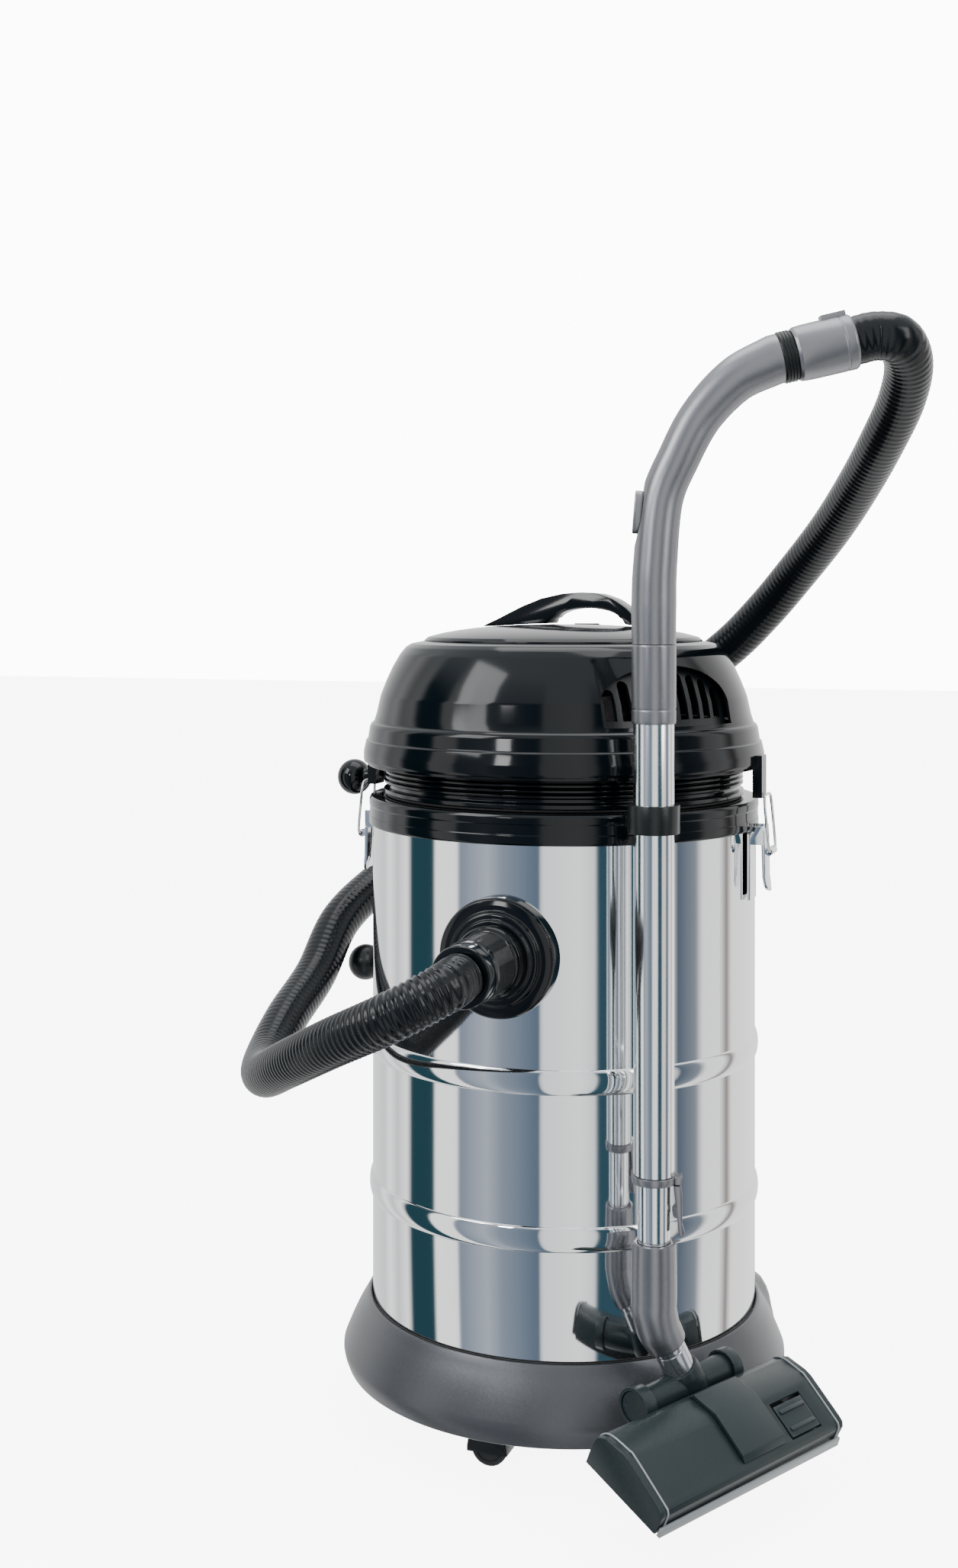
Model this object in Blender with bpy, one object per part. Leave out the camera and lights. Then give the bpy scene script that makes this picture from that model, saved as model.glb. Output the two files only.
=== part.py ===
"""Wet/dry drum vacuum cleaner with a parked telescopic wand, hose and floor nozzle.

Metres, +Z up.  Pieces are drawn round the drum's axis, and one empty then places them
all, so that the object's box is centred over the origin, standing on z = 0.
"""
import math

import bmesh
import bpy
from mathutils import Matrix, Vector

# Driving dimensions -------------------------------------------------------------
AXIS_X = -0.0234          # where the drum's axis stands in the object's frame
AXIS_Y = 0.0513
GAP = 0.0004              # between pieces that touch
SIDES = 30                # sides of every large turned piece, so that they nest

DRUM_R = 0.175
DRUM_BOTTOM_Z = 0.048
DRUM_TOP_Z = 0.548
DRUM_WALL = 0.0014
BEAD_ZS = (0.199, 0.329)
BEAD_PROUD = 0.0027
BEAD_HALF = 0.009

BASE_R = 0.2015
BASE_BOTTOM_Z = 0.036
BASE_LIP_Z = 0.097
PAN_UNDER_Z = 0.0445

BAND_R = 0.1783
BAND_TOP_Z = 0.5508
HEAD_MOUTH_R = 0.150      # the opening of the rim band that the motor unit hangs in
SKIRT_R = 0.1835
SKIRT_Z = 0.582
CAP_R = 0.1275
CAP_TOP_Z = 0.7065

PORT_Z = 0.432
PORT_FACE_Y = -0.195
CONNECTOR_END_Y = -0.269

REAR_WHEEL = (0.143, 0.120)       # x and y of the right rear wheel's middle
REAR_WHEEL_R = 0.022
REAR_WHEEL_WIDTH = 0.018
CASTER_Y = -0.155
CASTER_TRAIL = 0.014
CASTER_WHEEL_R = 0.016

LATCH_Y = -0.008
LATCH_PIVOT = (0.1865, 0.526)     # radius and height of the lever's pin
BAIL_PIVOT = (0.1955, 0.508)

HOOK_AZIMUTH = math.radians(-101)   # from the front, towards +X
LOWER_HOOK_Z = 0.373

WAND_X = 0.133
WAND_Y = -0.179
TUBE_OUTER_R = 0.0165
TUBE_INNER_R = 0.0133
TUBE_WALL = 0.0012
COLLAR_Z = 0.262          # foot of the outer tube
SLEEVE_Z = 0.629
GRIP_Z = 0.693
NECK_TOP_Z = 0.2135
CLIP_ZS = (0.541, 0.564)

NOZZLE_HEADING = math.radians(63)   # of its length, from +X
NOZZLE_PITCH = math.radians(23)
NOZZLE_LENGTH = 0.224
NOZZLE_FRONT = Vector((0.2143, -0.1993, 0.036))    # middle of the front edge
BARREL_S = 0.0894         # the barrel's axis, back from the front edge along the sole
BARREL_N = 0.021          # and above the sole
BARREL_R = 0.0125
BARREL_SPAN = (-0.051, 0.066)
SWIVEL_AT = 0.014         # where along the barrel the swivel tube joins it

HOSE_R = 0.020
HOSE_ROUTE = (
    (0.000, -0.2695, 0.432), (-0.004, -0.302, 0.428), (-0.040, -0.318, 0.408),
    (-0.100, -0.292, 0.378), (-0.165, -0.238, 0.343), (-0.212, -0.185, 0.318),
    (-0.236, -0.135, 0.318), (-0.243, -0.080, 0.342), (-0.242, -0.020, 0.371),
    (-0.240, 0.035, 0.4145), (-0.222, 0.098, 0.447), (-0.182, 0.157, 0.487),
    (-0.122, 0.200, 0.532), (-0.050, 0.224, 0.578), (0.030, 0.227, 0.626),
    (0.104, 0.210, 0.678), (0.147, 0.190, 0.716), (0.188, 0.158, 0.757),
    (0.228, 0.112, 0.797), (0.263, 0.055, 0.835), (0.291, 0.000, 0.868),
    (0.312, -0.044, 0.897), (0.3225, -0.083, 0.922), (0.318, -0.111, 0.938),
    (0.3010, -0.1182, 0.9410), (0.2846, -0.1238, 0.9372),
)
HANDLE_PATH = (
    (0.133, -0.179, GRIP_Z), (0.133, -0.179, 0.725), (0.134, -0.179, 0.757),
    (0.139, -0.177, 0.809), (0.152, -0.173, 0.843), (0.169, -0.166, 0.877),
    (0.195, -0.157, 0.906), (0.224, -0.146, 0.922),
)
HANDLE_RADII = (0.0178, 0.0182, 0.0178, 0.0172, 0.0172, 0.0176, 0.0188, 0.0203)
CUFF_END = Vector((0.284, -0.124, 0.937))
CUFF_AXIS = (CUFF_END - Vector(HANDLE_PATH[-1])).normalized()

MATERIALS = {
    "steel": ((0.75, 0.76, 0.78), 0.08, 1.0),
    "chrome": ((0.80, 0.81, 0.83), 0.06, 1.0),
    "gloss_black": ((0.012, 0.016, 0.018), 0.12, 0.0),
    "matte_black": ((0.020, 0.022, 0.024), 0.55, 0.0),
    "ring_grey": ((0.20, 0.21, 0.22), 0.35, 0.0),
    "handle_grey": ((0.26, 0.27, 0.28), 0.30, 0.35),
    "nozzle_dark": ((0.045, 0.055, 0.055), 0.40, 0.0),
    "light_grey": ((0.45, 0.47, 0.48), 0.40, 0.0),
    "rubber": ((0.02, 0.02, 0.02), 0.80, 0.0),
    "hose": ((0.020, 0.024, 0.030), 0.35, 0.0),
    "filter_cloth": ((0.75, 0.73, 0.66), 0.90, 0.0),
    "cage_white": ((0.70, 0.71, 0.72), 0.45, 0.0),
    "motor_metal": ((0.35, 0.35, 0.36), 0.40, 1.0),
    "brush": ((0.03, 0.03, 0.03), 0.90, 0.0),
}


# Helpers --------------------------------------------------------------------------
def clear_scene():
    for item in list(bpy.data.objects):
        bpy.data.objects.remove(item, do_unlink=True)


def material(name):
    found = bpy.data.materials.get(name)
    if found:
        return found
    colour, roughness, metallic = MATERIALS[name]
    made = bpy.data.materials.new(name)
    made.use_nodes = True
    shader = made.node_tree.nodes["Principled BSDF"]
    shader.inputs["Base Color"].default_value = (*colour, 1)
    shader.inputs["Roughness"].default_value = roughness
    shader.inputs["Metallic"].default_value = metallic
    made.diffuse_color = (*colour, 1)
    return made


def empty(name, location, parent=None, matrix=None):
    """An empty on a joint's axis, for the pieces that turn about it."""
    made = bpy.data.objects.new(name, None)
    bpy.context.collection.objects.link(made)
    made.parent = parent
    if matrix is None:
        made.location = location
    else:
        made.matrix_basis = matrix
    return made


def finish_mesh(name, shape, slot, parent, location=(0, 0, 0), rotation=None):
    """Turn a bmesh into a named object with its outward faces and its material."""
    bmesh.ops.recalc_face_normals(shape, faces=shape.faces[:])
    mesh = bpy.data.meshes.new(name)
    shape.to_mesh(mesh)
    shape.free()
    mesh.shade_smooth()
    mesh.set_sharp_from_angle(angle=math.radians(35))
    made = bpy.data.objects.new(name, mesh)
    bpy.context.collection.objects.link(made)
    mesh.materials.append(material(slot))
    made.parent = parent
    made.location = location
    if rotation is not None:
        made.rotation_euler = rotation
    return made


def turned_shape(outline, sides, start=0.0, sweep=None):
    """Turn a closed (radius, height) outline about Z; a sweep gives only a sector."""
    shape = bmesh.new()
    whole = sweep is None
    steps = sides if whole else sides + 1
    angle = (2 * math.pi if whole else sweep) / sides
    rings = []
    poles = {}
    for k, (radius, height) in enumerate(outline):
        if radius < 1e-6:
            poles[k] = shape.verts.new((0, 0, height))
    for step in range(steps):
        turn = start + step * angle
        ring = []
        for k, (radius, height) in enumerate(outline):
            if k in poles:
                ring.append(poles[k])
            else:
                ring.append(shape.verts.new((radius * math.cos(turn), radius * math.sin(turn), height)))
        rings.append(ring)
    pairs = steps if whole else steps - 1
    for step in range(pairs):
        here, there = rings[step], rings[(step + 1) % steps]
        for k in range(len(outline)):
            after = (k + 1) % len(outline)
            corners = []
            for corner in (here[k], here[after], there[after], there[k]):
                if corner not in corners:
                    corners.append(corner)
            if len(corners) > 2:
                shape.faces.new(corners)
    if not whole:
        for ring in (rings[0], rings[-1]):
            shape.faces.new(ring)
    return shape


def turned(name, outline, slot, parent, sides=SIDES, location=(0, 0, 0), rotation=None):
    return finish_mesh(name, turned_shape(outline, sides), slot, parent, location, rotation)


def prism_shape(outline, low, high, plane="xz"):
    """A flat outline carried from low to high across its plane."""
    place = {
        "xz": lambda a, b, c: (a, c, b),
        "xy": lambda a, b, c: (a, b, c),
        "yz": lambda a, b, c: (c, a, b),
    }[plane]
    shape = bmesh.new()
    near = [shape.verts.new(place(a, b, low)) for a, b in outline]
    far = [shape.verts.new(place(a, b, high)) for a, b in outline]
    count = len(outline)
    for k in range(count):
        after = (k + 1) % count
        shape.faces.new((near[k], near[after], far[after], far[k]))
    shape.faces.new(near)
    shape.faces.new(far)
    return shape


def prism(name, outline, low, high, slot, parent, plane="xz", location=(0, 0, 0), rotation=None):
    return finish_mesh(name, prism_shape(outline, low, high, plane), slot, parent, location, rotation)


def box_shape(low, high):
    outline = ((low[0], low[1]), (high[0], low[1]), (high[0], high[1]), (low[0], high[1]))
    return prism_shape(outline, low[2], high[2], "xy")


def boxes(name, corners, slot, parent, location=(0, 0, 0), rotation=None):
    """One mesh of separate boxes."""
    joined = bmesh.new()
    for low, high in corners:
        mesh = bpy.data.meshes.new("box")
        shape = box_shape(low, high)
        bmesh.ops.recalc_face_normals(shape, faces=shape.faces[:])
        shape.to_mesh(mesh)
        shape.free()
        joined.from_mesh(mesh)
        bpy.data.meshes.remove(mesh)
    return finish_mesh(name, joined, slot, parent, location, rotation)


def loft(name, rings, slot, parent):
    """Skin closed rings of points in order, with flat ends."""
    shape = bmesh.new()
    made = [[shape.verts.new(point) for point in ring] for ring in rings]
    for here, there in zip(made, made[1:]):
        count = len(here)
        for k in range(count):
            after = (k + 1) % count
            shape.faces.new((here[k], here[after], there[after], there[k]))
    shape.faces.new(made[0])
    shape.faces.new(made[-1])
    return finish_mesh(name, shape, slot, parent)


def rings_along(path, radii, sides):
    """Round sections square to a path, turned as little as possible from one to the next."""
    points = [Vector(point) for point in path]
    rings = []
    side = None
    for k, point in enumerate(points):
        ahead = points[min(k + 1, len(points) - 1)] - points[max(k - 1, 0)]
        ahead.normalize()
        if side is None:
            side = ahead.orthogonal().normalized()
        side = (side - ahead * side.dot(ahead)).normalized()
        other = ahead.cross(side)
        ring = []
        for step in range(sides):
            turn = 2 * math.pi * step / sides
            offset = side * math.cos(turn) + other * math.sin(turn)
            ring.append(point + offset * radii[k])
        rings.append(ring)
    return rings


def smooth_path(points, count):
    """Points at even steps along a Catmull-Rom curve through the given ones."""
    knots = [Vector(point) for point in points]
    fine = []
    for k in range(len(knots) - 1):
        before = knots[k - 1] if k else knots[0] * 2 - knots[1]
        start, end = knots[k], knots[k + 1]
        after = knots[k + 2] if k + 2 < len(knots) else end * 2 - start
        for step in range(20):
            t = step / 20
            fine.append(0.5 * (2 * start + (end - before) * t
                               + (2 * before - 5 * start + 4 * end - after) * t * t
                               + (3 * start - before - 3 * end + after) * t ** 3))
    fine.append(knots[-1])
    lengths = [0.0]
    for here, there in zip(fine, fine[1:]):
        lengths.append(lengths[-1] + (there - here).length)
    even = []
    k = 0
    for step in range(count):
        wanted = lengths[-1] * step / (count - 1)
        while k < len(fine) - 2 and lengths[k + 1] < wanted:
            k += 1
        share = (wanted - lengths[k]) / (lengths[k + 1] - lengths[k])
        even.append(fine[k].lerp(fine[k + 1], min(share, 1.0)))
    return even


def boolean(target, tool, operation="DIFFERENCE"):
    """Cut or join with another object, which is then only a guide."""
    step = target.modifiers.new(operation.lower(), "BOOLEAN")
    step.operation = operation
    step.object = tool
    step.solver = "EXACT"
    tool.hide_render = True
    tool.display_type = "WIRE"
    return target


def ellipse_arc(centre, radii, start, end, steps):
    points = []
    for step in range(steps + 1):
        turn = math.radians(start + (end - start) * step / steps)
        points.append((centre[0] + radii[0] * math.cos(turn), centre[1] + radii[1] * math.sin(turn)))
    return points


def tube_outline(inner, outer, low, high):
    return ((inner, low), (outer, low), (outer, high), (inner, high))


# Base and drum ----------------------------------------------------------------------
def make_base(axis):
    ring = turned("base_ring", (
        (0.1756, BASE_LIP_Z - 0.0004), (0.1766, BASE_LIP_Z), (0.1800, 0.0945), (0.1885, 0.080),
        (0.1980, 0.060), (BASE_R, 0.051), (0.1990, 0.040), (0.1960, BASE_BOTTOM_Z),
        (0.1930, BASE_BOTTOM_Z), (0.1960, 0.041), (0.1975, 0.050), (0.1945, 0.058),
        (0.1855, 0.077), (0.1800, 0.086), (0.1790, PAN_UNDER_Z), (0.0, PAN_UNDER_Z),
        (0.0, 0.0475), (0.1756, 0.0475)), "ring_grey", axis)
    for side, word in ((1, "right"), (-1, "left")):
        x, y = REAR_WHEEL
        arch = prism("arch_hump_" + word, ellipse_arc((y + 0.004, 0.052), (0.032, 0.036), 0, 180, 10),
                     side * (x - 0.004), side * (x + 0.017), "ring_grey", axis, "yz")
        boolean(ring, arch, "UNION")
        well = boxes("wheel_well_" + word, (((x - 0.0125, y - 0.0265, 0.030),
                                             (x + 0.0125, y + 0.0265, 0.0462)),),
                     "ring_grey", axis, location=(0, 0, 0))
        if side < 0:
            well.location.x = -2 * x
        boolean(ring, well)
        make_rear_wheel(axis, side, word)
    drum_room = turned("drum_room", ((0, 0.0475), (0, 0.12), (0.1756, 0.12), (0.1756, 0.0475)),
                       "steel", axis)
    boolean(ring, drum_room)


def make_rear_wheel(axis, side, word):
    x, y = REAR_WHEEL
    hub = Vector((side * x, y, REAR_WHEEL_R))
    cheek = REAR_WHEEL_WIDTH / 2 + 0.0008
    fork = boxes("rear_axle_" + word, (
        ((-cheek - 0.0022, -0.007, -0.005), (-cheek, 0.007, 0.0458 - REAR_WHEEL_R)),
        ((cheek, -0.007, -0.005), (cheek + 0.0022, 0.007, 0.0458 - REAR_WHEEL_R)),
    ), "matte_black", axis, location=hub)
    pin = turned("axle_pin_" + word, ((0, -cheek - 0.0015), (0.0026, -cheek - 0.0015),
                 (0.0026, cheek + 0.0015), (0, cheek + 0.0015)), "chrome", axis, 16, hub,
                 (0, math.pi / 2, 0))
    boolean(fork, pin, "UNION")
    spin = empty("rear_wheel_axis_" + word, hub, axis)
    half = REAR_WHEEL_WIDTH / 2
    turned("rear_wheel_" + word, (
        (0.0030, -half), (0.0200, -half), (REAR_WHEEL_R, -half + 0.003), (REAR_WHEEL_R, half - 0.003),
        (0.0200, half), (0.0030, half)), "matte_black", spin, 16, rotation=(0, math.pi / 2, 0))


def make_front_caster(axis):
    turned("caster_socket", ((0.0066, 0.0366), (0.0150, 0.0366), (0.0165, 0.040),
                             (0.0165, PAN_UNDER_Z - GAP),
           (0.0066, PAN_UNDER_Z - GAP)), "matte_black", axis, 24, (0, CASTER_Y, 0))
    swivel = empty("caster_swivel_axis", (0, CASTER_Y, 0), axis)
    centre = Vector((-CASTER_TRAIL, 0, CASTER_WHEEL_R))
    hood = ellipse_arc((-CASTER_TRAIL, CASTER_WHEEL_R + 0.001), (0.0178, 0.0180), 0, 180, 10)
    room = ellipse_arc((-CASTER_TRAIL, CASTER_WHEEL_R), (0.0168, 0.0168), -30, 210, 14)
    fork = prism("front_caster_fork", hood + [(-CASTER_TRAIL - 0.0178, 0.013),
                                              (-CASTER_TRAIL + 0.0178, 0.013)],
                 -0.0135, 0.0135, "matte_black", swivel)
    stem = turned("caster_stem", ((0, 0.028), (0.0060, 0.028), (0.0060, 0.0436), (0, 0.0436)), "chrome",
                  swivel, 20)
    neck = turned("caster_collar", ((0, 0.0255), (0.0120, 0.0255), (0.0120, 0.0360), (0, 0.0360)),
                  "matte_black", swivel, 16)
    boolean(fork, neck, "UNION")
    boolean(fork, stem, "UNION")
    boolean(fork, prism("wheel_room", room, -0.0105, 0.0105, "matte_black", swivel))
    pin = turned("caster_pin", ((0, -0.0115), (0.0022, -0.0115), (0.0022, 0.0115), (0, 0.0115)), "chrome",
                 swivel, 12, centre, (math.pi / 2, 0, 0))
    boolean(fork, pin, "UNION")
    spin = empty("caster_wheel_axis", centre, swivel)
    turned("front_caster_wheel", (
        (0.0026, -0.0095), (0.0145, -0.0095), (CASTER_WHEEL_R, -0.007), (CASTER_WHEEL_R, 0.007),
        (0.0145, 0.0095), (0.0026, 0.0095)),
        "matte_black", spin, 16, rotation=(math.pi / 2, 0, 0))


def make_drum(axis):
    outer = [(DRUM_R, DRUM_TOP_Z)]
    for bead in sorted(BEAD_ZS, reverse=True):
        outer += [(DRUM_R, bead + BEAD_HALF), (DRUM_R + BEAD_PROUD, bead + BEAD_HALF * 0.45),
                  (DRUM_R + BEAD_PROUD, bead - BEAD_HALF * 0.45), (DRUM_R, bead - BEAD_HALF)]
    outer += [(DRUM_R, 0.060), (0.171, 0.0515), (0.163, DRUM_BOTTOM_Z), (0.0, DRUM_BOTTOM_Z)]
    inner = [(0.0, DRUM_BOTTOM_Z + DRUM_WALL), (0.1625, DRUM_BOTTOM_Z + DRUM_WALL), (0.1698, 0.0530),
             (DRUM_R - DRUM_WALL, 0.0605), (DRUM_R - DRUM_WALL, DRUM_TOP_Z)]
    drum = turned("drum", outer + inner, "steel", axis)
    hole = turned("port_hole", ((0, 0.14), (0.0236, 0.14), (0.0236, 0.20), (0, 0.20)), "steel", axis, 24,
                  (0, 0, PORT_Z), (math.pi / 2, 0, 0))
    boolean(drum, hole)
    turned("rim_band", (
        (DRUM_R + 0.0005, 0.5250), (0.1778, 0.5250), (BAND_R, 0.5290), (BAND_R, 0.5470),
        (0.1770, BAND_TOP_Z),
        (HEAD_MOUTH_R, BAND_TOP_Z), (HEAD_MOUTH_R, DRUM_TOP_Z + GAP), (DRUM_R + 0.0005, DRUM_TOP_Z + GAP)),
        "gloss_black", axis)
    turned("drum_gasket", tube_outline(HEAD_MOUTH_R + 0.001, 0.163, BAND_TOP_Z + GAP, 0.5534),
           "rubber", axis)


def make_port(axis):
    """The inlet: a flange on the drum, its inner deflector, and the swivelling hose connector."""
    towards_front = (math.pi / 2, 0, 0)      # a turned outline's height then runs along -Y
    port = (0, 0, PORT_Z)
    flange = turned("port_flange", (
        (0.0238, 0.160), (0.0505, 0.160), (0.0505, 0.1845), (0.0485, 0.1870), (0.0400, 0.1880),
        (0.0390, 0.1915), (0.0330, 0.1925), (0.0320, -PORT_FACE_Y), (0.0238, -PORT_FACE_Y)),
        "gloss_black", axis, 28, port, towards_front)
    boolean(flange, turned("drum_side", ((0, 0.3), (0, 0.55), (0.1758, 0.55), (0.1758, 0.3)), "steel",
                           axis))
    turned("inlet_deflector", (
        (0.0212, 0.142), (0.0230, 0.142), (0.0230, 0.1655), (0.0290, 0.1655), (0.0290, 0.1680),
        (0.0230, 0.1680), (0.0230, 0.1900), (0.0212, 0.1900)), "matte_black", axis, 18, port, towards_front)
    spin = empty("connector_axis", port, axis)
    end = -CONNECTOR_END_Y
    turned("hose_connector", (
        (0.0172, 0.1700), (0.0205, 0.1700), (0.0205, 0.1954), (0.0300, 0.1954), (0.0300, 0.2060),
        (0.0265, 0.2090), (0.0245, 0.2560), (0.0250, end), (0.0172, end)), "matte_black", spin, 20,
        rotation=towards_front)


def make_latch(axis, side, word):
    """Over-centre latch: a lever on a bracket, carrying a wire bail that hooks on the head's keeper."""
    frame = empty("latch_frame_" + word, (0, LATCH_Y, 0), axis)
    pin_r, pin_z = LATCH_PIVOT

    def out(low, high):
        """A box drawn on the +X side, mirrored for the left latch."""
        if side > 0:
            return (low, high)
        return ((-high[0], low[1], low[2]), (-low[0], high[1], high[2]))

    plate = boxes("latch_plate_" + word, (out((0.1760, -0.0130, 0.4650), (0.1786, 0.0130, 0.5245)),),
                  "steel", frame)
    cheeks = boxes("latch_cheeks_" + word, (
        out((0.1782, -0.0130, 0.5140), (0.1900, -0.0112, 0.5300)),
        out((0.1782, 0.0112, 0.5140), (0.1900, 0.0130, 0.5300))), "steel", frame)
    band_room = turned("band_room_" + word, ((0, 0.5246), (0, 0.56), (BAND_R + 0.0006, 0.56),
                                             (BAND_R + 0.0006, 0.5246)),
                       "steel", axis)
    boolean(plate, cheeks, "UNION")
    boolean(plate, band_room)
    crossways = (math.pi / 2, 0, 0)
    pin = turned("latch_pin_" + word, ((0, -0.0121), (0.0017, -0.0121), (0.0017, 0.0121), (0, 0.0121)),
                 "chrome",
                 frame, 12, (side * pin_r, 0, pin_z), crossways)
    boolean(plate, pin, "UNION")

    swing = empty("latch_lever_axis_" + word, (side * pin_r, 0, pin_z), frame)
    bail_x, bail_z = BAIL_PIVOT[0] - pin_r, BAIL_PIVOT[1] - pin_z
    outline = [(0.0022, 0.0036), (0.0044, 0.0), (0.0046, bail_z + 0.006), (0.0050, -0.0400),
               (0.0066, -0.0500),
               (0.0080, -0.0530), (0.0064, -0.0536), (0.0040, -0.0510), (0.0022, -0.0400),
               (0.0016, bail_z), (0.0010, -0.0036), (-0.0030, -0.0022), (-0.0034, 0.0018)]
    outline = [(side * a, b) for a, b in outline]
    lever = prism("latch_lever_" + word, outline, -0.0105, 0.0105, "steel", swing)
    knuckle = turned("latch_knuckle_" + word,
                     ((0, -0.0105), (0.0036, -0.0105), (0.0036, 0.0105), (0, 0.0105)),
                     "steel", swing, 16, (side * (bail_x - 0.0010), 0, bail_z), crossways)
    boolean(lever, knuckle, "UNION")
    for place, radius in (((0, 0, 0), 0.0021), ((side * bail_x, 0, bail_z), 0.0019)):
        bore = turned("latch_bore_%s_%d" % (word, 1 + (radius < 0.002)),
                      ((0, -0.02), (radius, -0.02), (radius, 0.02), (0, 0.02)),
                      "steel", swing, 12, place, crossways)
        boolean(lever, bore)
    tip = turned("latch_tip_%s" % word, tube_outline(0.0105, 0.030, -0.03, 0.03), "steel", swing, 32,
                 (0, 0, -0.0430), (0, math.pi / 2, 0))
    tip_keep = boxes("latch_tip_keep_" + word, (((-0.03, -0.04, -0.0425), (0.03, 0.04, 0.02)),),
                     "steel", swing)
    boolean(tip, tip_keep)
    boolean(lever, tip)

    hang = empty("latch_bail_axis_" + word, (side * bail_x, 0, bail_z), swing)
    lean = side * (0.1912 - BAIL_PIVOT[0])
    height = 0.5578 - BAIL_PIVOT[1]
    half = 0.0157
    loop = [(0, -half + 0.003, 0), (0, 0, 0), (0, half - 0.003, 0), (0, half, 0.003),
            (lean * 0.9, half, height - 0.005),
            (lean, half - 0.004, height), (lean, 0, height), (lean, -half + 0.004, height),
            (lean * 0.9, -half, height - 0.005), (0, -half, 0.003)]
    wire_loop("latch_bail_" + word, loop, 0.0014, hang)


def wire_loop(name, points, radius, parent):
    """A bent wire that closes on itself, with round sections at each corner."""
    shape = bmesh.new()
    knots = [Vector(point) for point in points]
    count = len(knots)
    rings = []
    for k, knot in enumerate(knots):
        ahead = (knots[(k + 1) % count] - knots[k - 1]).normalized()
        side = Vector((1, 0, 0))
        side = (side - ahead * side.dot(ahead)).normalized()
        other = ahead.cross(side)
        ring = []
        for step in range(8):
            turn = 2 * math.pi * step / 8
            ring.append(shape.verts.new(knot + (side * math.cos(turn) + other * math.sin(turn)) * radius))
        rings.append(ring)
    for k in range(count):
        here, there = rings[k], rings[(k + 1) % count]
        for step in range(8):
            after = (step + 1) % 8
            shape.faces.new((here[step], here[after], there[after], there[step]))
    return finish_mesh(name, shape, "chrome", parent)


def make_cord_hook(name, low_z, start_r, tilt, flange_r, reach, parent, slot):
    """A round-headed post that points out of the side, for winding the lead on."""
    outline = [(0, 0)]
    if flange_r:
        outline += [(flange_r, 0), (flange_r, 0.0020), (0.0085, 0.0035)]
    else:
        outline += [(0.0062, 0)]
    outline += [(0.0060, 0.012), (0.0062, 0.026 + reach)]
    outline += ellipse_arc((0, 0.044 + reach), (0.0175, 0.0165), -60, 60, 6)
    outline += [(0, 0.0605 + reach)]
    direction = Vector((math.sin(HOOK_AZIMUTH), -math.cos(HOOK_AZIMUTH), 0))
    away = (direction * math.cos(tilt) + Vector((0, 0, math.sin(tilt)))).normalized()
    post = turned(name, outline, slot, parent, 12)
    post.location = direction * start_r + Vector((0, 0, low_z))
    post.rotation_euler = away.to_track_quat("Z", "Y").to_euler()
    return post


# Head -------------------------------------------------------------------------------
DOME = (
    (SKIRT_R, SKIRT_Z), (SKIRT_R, 0.592), (0.1808, 0.6020), (0.1774, 0.6150), (0.1740, 0.6182),
    (0.1700, 0.6340), (0.1630, 0.6550), (0.1570, 0.6680), (0.1500, 0.6800), (0.1400, 0.6892),
    (0.1285, 0.6915),
)
VENT_AZIMUTH = math.radians(-90 + 52)      # the way the exhaust grille faces
VENT_BOTTOM_Z = 0.622


def vent_outline(shrink=0.0):
    """Arched opening of the exhaust, drawn across (t) and up (z)."""
    half = 0.068 - shrink
    points = [(-half, VENT_BOTTOM_Z + shrink), (half, VENT_BOTTOM_Z + shrink)]
    points += ellipse_arc((0, 0.640), (half, 0.033 - shrink), 0, 180, 10)
    return points


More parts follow.
